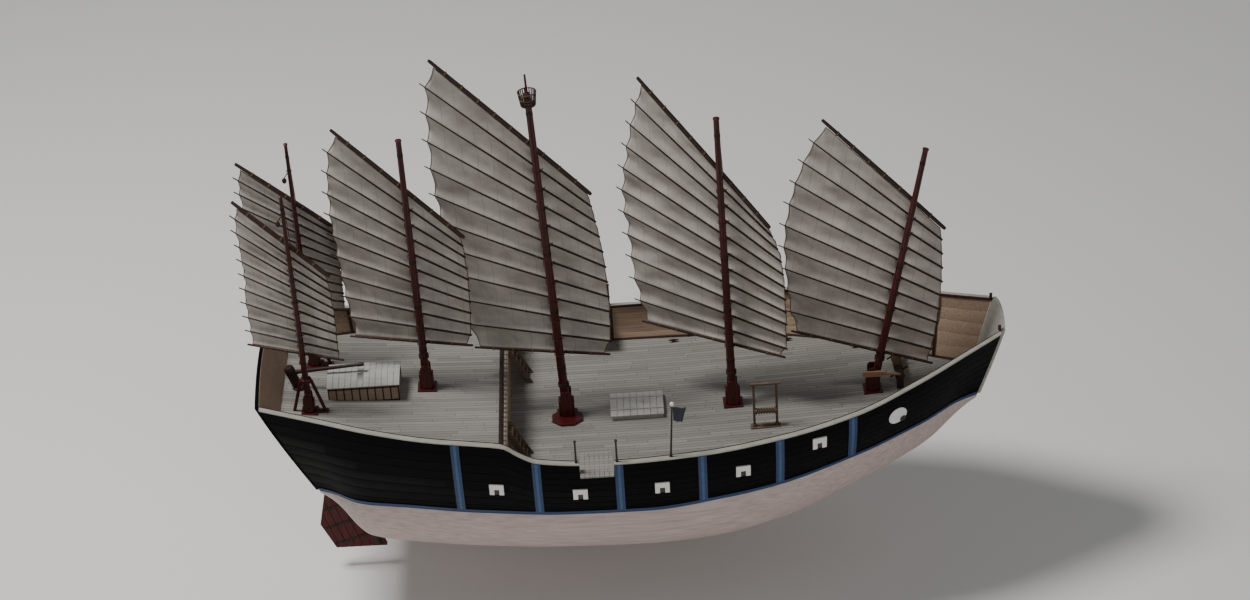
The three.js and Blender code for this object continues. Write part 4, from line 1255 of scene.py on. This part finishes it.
def spline_by_length(corners):
    """A smooth curve through corners, read at a share of its length."""
    last = len(corners) - 1
    samples = []
    for k in range(last * 60 + 1):
        at = k / 60
        i = min(int(at), last - 1)
        t = at - i
        point = []
        for axis in (0, 1):
            p0, p1, p2, p3 = (corners[min(max(i + step, 0), last)][axis] for step in (-1, 0, 1, 2))
            v0 = (p2 - p0) * 0.5
            v1 = (p3 - p1) * 0.5
            cubic = (2 * p1 - 2 * p2 + v0 + v1) * t ** 3
            point.append(cubic + (-3 * p1 + 3 * p2 - 2 * v0 - v1) * t * t + v0 * t + p1)
        samples.append(Vector(point))
    lengths = [0.0]
    for a, b in zip(samples, samples[1:]):
        lengths.append(lengths[-1] + (b - a).length)

    def point_at(share):
        wanted = share * lengths[-1]
        i = 0
        while i < len(lengths) - 2 and lengths[i + 1] < wanted:
            i += 1
        part = (wanted - lengths[i]) / max(lengths[i + 1] - lengths[i], 1e-9)
        return samples[i].lerp(samples[i + 1], min(max(part, 0), 1))

    return point_at


def sail_rows(rig):
    """The after and forward ends of the sail's head, its battens and its foot, from the yard down."""
    leech = spline_by_length([rig["peak"], *rig["leech"], rig["clew"]])
    luff = spline_by_length([rig["throat"], *rig["luff"], rig["tack"]])
    rows = rig["battens"] + 1
    drops = [(yard_radius(rig) + GAP) * 1.45] + [0] * (rows - 1) + [-(BOOM_RADIUS + GAP)]
    after = [leech(row / rows) - Vector((0, drop)) for row, drop in enumerate(drops)]
    ahead = [luff(row / rows) - Vector((0, drop)) for row, drop in enumerate(drops)]
    return after, ahead


def sail_cloth(rig):
    """The battened sail: cloth that bellies off the mast between its battens and sags onto the lower one."""
    name = rig["name"]
    after, ahead = sail_rows(rig)
    panels = len(after) - 1
    seed = 3.7 * len(name) + rig["foot"][0] * 0.01
    grid = []
    flat_points = []
    for step in range(panels * DOWN + 1):
        panel = min(step // DOWN, panels - 1)
        t = step / DOWN - panel
        back = after[panel].lerp(after[panel + 1], t)
        front = ahead[panel].lerp(ahead[panel + 1], t)
        tall = (after[panel] - after[panel + 1]).length
        tall_ahead = (ahead[panel] - ahead[panel + 1]).length
        hollow = math.sin(t * math.pi)
        sag = math.sin(math.pi * t ** 1.35)
        back = back.lerp(front, 0.01 * hollow * tall / 60)
        front = front.lerp(back, 0.006 * hollow * tall / 60)
        row = []
        for u in evenly(0, 1, ACROSS):
            full = 0.8 + 0.5 * noise.noise(Vector((u * 3.1, panel * 0.83, seed)))
            edge = 1 - 0.4 * (1 - u) ** 5 + 0.15 * u ** 5
            slack = noise.noise(Vector((u * 6.5 + t * 0.8, panel * 1.9 + t * 0.9, seed + 5))) * 0.12
            crease = noise.noise(Vector((u * 21 - t * 2.2, panel * 3.1 + t * 1.3, seed + 9))) * 0.06
            belly = mix(tall, tall_ahead, u) * (FULLNESS * sag * full * edge + (slack + crease) * hollow)
            flat_points.append(back.lerp(front, u))
            row.append(sail_point(rig, *flat_points[-1], max(belly, -0.3)))
        grid.append(row)
    shape = Shape()
    shape.sheet(grid)
    cloth = piece("sail_cloth_" + name, shape, [SAILCLOTH], "sail_" + name, ["sail_" + name],
                  crease=180)
    chart = cloth.data.uv_layers.new(name="UVMap")
    for loop in cloth.data.loops:
        chart.data[loop.index].uv = flat_points[loop.vertex_index]
    thicken(cloth)
    rope = bolt_rope(rig, grid)
    battens = sail_battens(rig, after, ahead)
    yard, boom = spars(rig)


def bolt_rope(rig, grid):
    """The rope sewn round the edge of the cloth."""
    shape = Shape()
    luff = [row[-1] for row in reversed(grid[:-1])]
    shape.rope([row[0] for row in grid] + grid[-1][1:] + luff + grid[0][-2:0:-1], 0.9, closed=True)
    return piece("bolt_rope_" + rig["name"], shape, [HEMP], "sail_" + rig["name"])


def sail_battens(rig, after, ahead):
    """Thin bamboo battens, thicker at the luff, that stand out past the leech, each lashed to the cloth."""
    shape = Shape()
    thin = 1.2
    profile = [(0, 0.9), (0.01, thin), (0.5, BATTEN_RADIUS * 0.9), (0.99, BATTEN_RADIUS),
               (1, BATTEN_RADIUS * 0.8)]
    for back, front in zip(after[1:-1], ahead[1:-1]):
        way = (front - back).normalized()
        start = back - way * BATTEN_OVERHANG
        end = front + way * 3
        from_point = sail_point(rig, *start)
        to_point = sail_point(rig, *end)
        shape.turned(from_point, to_point, profile, 0, 10)
        lashings = max(4, round((end - start).length / 34))
        for i in range(lashings):
            at = (i + 0.5) / lashings
            radius = mix(thin, BATTEN_RADIUS, at) + 0.35
            shape.hoop(from_point.lerp(to_point, at), to_point - from_point, radius, 0.45, 1, 10, turns=2)
    return piece("battens_" + rig["name"], shape, [BATTEN_BAMBOO, HEMP], "sail_" + rig["name"])


def spars(rig):
    """The yard and the boom, tapered to their ends and served with rope."""
    name = rig["name"]
    taper = [(0, 0.55), (0.01, 0.72), (0.3, 0.95), (0.5, 1), (0.8, 0.97), (0.99, 0.8), (1, 0.6)]
    made = []
    for kind, after, ahead, radius in (("yard", "peak", "throat", yard_radius(rig)),
                                       ("boom", "clew", "tack", BOOM_RADIUS)):
        start = Vector(rig[after])
        end = Vector(rig[ahead])
        way = (end - start).normalized()
        from_point = sail_point(rig, *(start - way * SPAR_OVERHANG))
        to_point = sail_point(rig, *(end + way * SPAR_OVERHANG))
        shape = Shape()
        shape.turned(from_point, to_point, [(share, radius * part) for share, part in taper])
        wraps = round((end - start).length / 38)
        for i in range(1, wraps):
            shape.hoop(from_point.lerp(to_point, i / wraps), to_point - from_point, radius + 0.2, 0.5, 1, 16,
                       turns=3)
        made.append(piece(f"{kind}_spar_{name}", shape, [DARK_TEAK, HEMP], "sail_" + name,
                          [f"{kind}_{name}"]))
    return made


def parrels(rig):
    """Rope loops that hold each batten and the boom to the mast, and the halyard from yard to block."""
    name = rig["name"]
    _, along, normal = rig_axes(rig)
    after, ahead = sail_rows(rig)
    clear = (sail_point(rig, 0, 0) - Vector(rig["foot"])).dot(normal)
    radius = 0.8
    bends = 14
    shape = Shape()
    for back, front in zip(after[1:], ahead[1:]):
        height = mix(back.y, front.y, -back.x / (front.x - back.x))
        if height > rig["height"] - 8:
            continue
        reach = mast_radius(rig, height) + radius * 2
        centre = mast_point(rig, height)
        line = [centre + normal * clear - along * (reach + 2)]
        for i in range(bends + 1):
            angle = math.pi * i / bends
            line.append(centre - along * (reach * math.cos(angle)) - normal * (reach * math.sin(angle)))
        line.append(centre + normal * clear + along * (reach + 2))
        shape.rope(line, radius)
    crossing = yard_crossing(rig)
    top = BASKET["low"] - 10 if name == "main" else rig["height"] - 9
    if top - crossing > 12:
        for shift in (-2, 2):
            start = mast_point(rig, crossing) + normal * (clear + yard_radius(rig) * 0.4) + along * shift
            end = mast_point(rig, top) + normal * (mast_radius(rig, top) + 1.2) + along * shift * 0.5
            shape.rope([start, end], radius)
    piece("parrels_" + name, shape, [TARRED_HEMP], "sail_" + name)


# Rudder.

def clipped(outline, point, direction):
    """The part of a convex outline that lies on the far side of a line, seen along a direction."""
    kept = []
    for a, b in zip(outline, outline[1:] + outline[:1]):
        da = (a - point).dot(direction)
        db = (b - point).dot(direction)
        if da >= 0:
            kept.append(a)
        if (da >= 0) != (db >= 0):
            kept.append(a.lerp(b, da / (da - db)))
    return kept


def stock_point(z):
    x, y, low = STOCK["low"]
    return Vector((x - (z - low) * STOCK["lean"], y, z))


def hung_rudder():
    """The rudder: red planks along a leaning stock, iron straps across them, and the dark tiller on deck."""
    shape = Shape()
    outline = [Vector(corner) for corner in BLADE["corners"]]
    middle = sum(outline, Vector((0, 0))) / len(outline)
    lean = Vector((-STOCK["lean"], 1)).normalized()
    across = Vector((-lean.y, lean.x))
    root = Vector((STOCK["low"][0], STOCK["low"][2]))
    offsets = [(corner - root).dot(across) for corner in outline]
    near = min(offsets)
    far = max(offsets)
    planks = 7
    half = BLADE["thick"] / 2
    for i in range(planks):
        low = mix(near, far, i / planks) + (PARTING if i else 0)
        high = mix(near, far, (i + 1) / planks) - PARTING
        strip = clipped(outline, root + across * low, across)
        shape.slab(clipped(strip, root + across * high, -across), "y", (-half, half))
    for share in (0.18, 0.5, 0.82):
        start = root + lean * mix(10, 150, share) + across * near
        end = start + across * (far - near)
        band = [start - lean * 3, end - lean * 3, end + lean * 3, start + lean * 3]
        for a, b in zip(outline, outline[1:] + outline[:1]):
            inwards = Vector((-(b - a).y, (b - a).x)).normalized()
            inwards = inwards if (middle - a).dot(inwards) > 0 else -inwards
            band = clipped(band, a + inwards * 0.5, inwards)
        if len(band) > 2:
            for y in (-half - 0.9, half - 0.1):
                shape.slab(band, "y", (y, y + 1), 1)
    radius = STOCK["radius"]
    stock = [(0, radius - 1), (0.01, radius), (0.96, radius), (0.965, 10.6), (0.99, 10.6), (1, 8)]
    shape.turned(stock_point(STOCK["low"][2]), stock_point(STOCK["top"]), stock, 2, 32)
    head = stock_point(STOCK["top"] - 14)
    tiller = [(0, 5), (0.1, 5), (0.12, 4.4), (0.9, 3.4), (0.93, 4.2), (0.99, 4.2), (1, 2.5)]
    shape.turned(head, head + Vector((TILLER_LENGTH, 0, 10)), tiller, 2)
    piece("hung_rudder", shape, [RUDDER_RED, IRON, DARK_TEAK], "rudder", ["rudder"],
          bevel=0.5)


def trunk_collar():
    """The dark collar on the quarterdeck that the rudder's stock comes up through."""
    shape = Shape()
    z = quarterdeck_z(-668)
    profile = [(0, 17), (0.6, 17), (0.9, 15.5), (1, 13), (1, 11), (0, 11)]
    shape.turned(stock_point(z), stock_point(z + 9), profile, 0, 32, closed=True)
    piece("rudder_trunk_collar", shape, [DARK_TEAK])


# Building.

bottom_planking()
topside_planking()
deck_planks("main_deck", stations_between(BREAK_X + 0.1, BOW_END), main_deck_z)
deck_planks("quarterdeck", stations_between(STERN_END, BREAK_X), quarterdeck_z)
quarterdeck_front()
turned_balustrade()
end_board("transom", -1, paint_z(-HALF_LENGTH), [BLACK_LACQUER, LINING_PINE])
end_board_border("transom", -1, paint_z(-HALF_LENGTH), 12, AZURE)
end_board("bow_board", 1, paint_z(HALF_LENGTH), [PALE_PAINT, PALE_PAINT])
for side_name, side_sign in SIDES:
    bulwark_lining(side_name, side_sign)
    bulwark_posts(side_name, side_sign)
    cap_rail(side_name, side_sign)
    blue_trim(side_name, side_sign)
    gunports(side_name, side_sign)
    painted_eye(side_name, side_sign)
    boarding_step(side_name)
    deck_ladder(side_name, side_sign * 150)
cabin_skylight()
main_hatch()
halyard_winch()
anchor_windlass()
deck_tackle()
mast_partner(BOW_RIG)
pennant_staff()
for one_rig in RIGS:
    masts(one_rig)
    halyard_fall(one_rig)
    mast_step(one_rig)
    sail_cloth(one_rig)
    parrels(one_rig)
lookout_basket(MAIN_RIG)
hung_rudder()
trunk_collar()


# Camera, lights and floor.

CAMERA = {"place": (-0.0046, -4.8255, 3.4018), "aim": (-0.0081, 0.0022, 0.4536), "roll": 3.52, "lens": 81}
FLOOR_Z = -0.16


def look(place, aim, roll=0.0):
    """A placed frame that looks from one point at another, rolled by an angle in degrees."""
    turn = (Vector(aim) - Vector(place)).to_track_quat("-Z", "Y").to_matrix().to_4x4()
    return Matrix.Translation(place) @ turn @ Matrix.Rotation(math.radians(roll), 4, "Z")


def camera():
    """The camera that sees the ship as the photo does."""
    data = bpy.data.cameras.new("camera")
    data.lens = CAMERA["lens"]
    data.sensor_width = 36
    made = new_object("camera", data)
    made.matrix_world = look(CAMERA["place"], CAMERA["aim"], -CAMERA["roll"])
    bpy.context.scene.camera = made


def soft_light(name, place, size, power):
    """A round area light that faces the ship."""
    data = bpy.data.lights.new(name, "AREA")
    data.shape = "DISK"
    data.size = size
    data.energy = power
    new_object(name, data).matrix_world = look(place, (0, 0, 0.3))


def pale_floor():
    """A wide, plain, matt floor."""
    reach = 14
    mesh = bpy.data.meshes.new("floor")
    corners = [(x * reach, y * reach, FLOOR_Z) for x, y in ((-1, -1), (1, -1), (1, 1), (-1, 1))]
    mesh.from_pydata(corners, [], [(0, 1, 2, 3)])
    _, _, material = finish_of("floor_paint", Base_Color=linear("eceae6"), Roughness=0.9)
    mesh.materials.append(material)
    new_object("floor", mesh)


def studio():
    """A dim, cool sky and two soft lights, one high over the stern and one low in front."""
    world = bpy.data.worlds.new("studio")
    bpy.context.scene.world = world
    world.use_nodes = True
    background = world.node_tree.nodes["Background"]
    background.inputs["Color"].default_value = linear("eef1f5")
    background.inputs["Strength"].default_value = 0.22
    soft_light("key_light", (-2.2, 0.0, 4.4), 1.4, 205)
    soft_light("front_light", (1.5, -4.0, 1.8), 3.0, 30)


camera()
studio()
pale_floor()
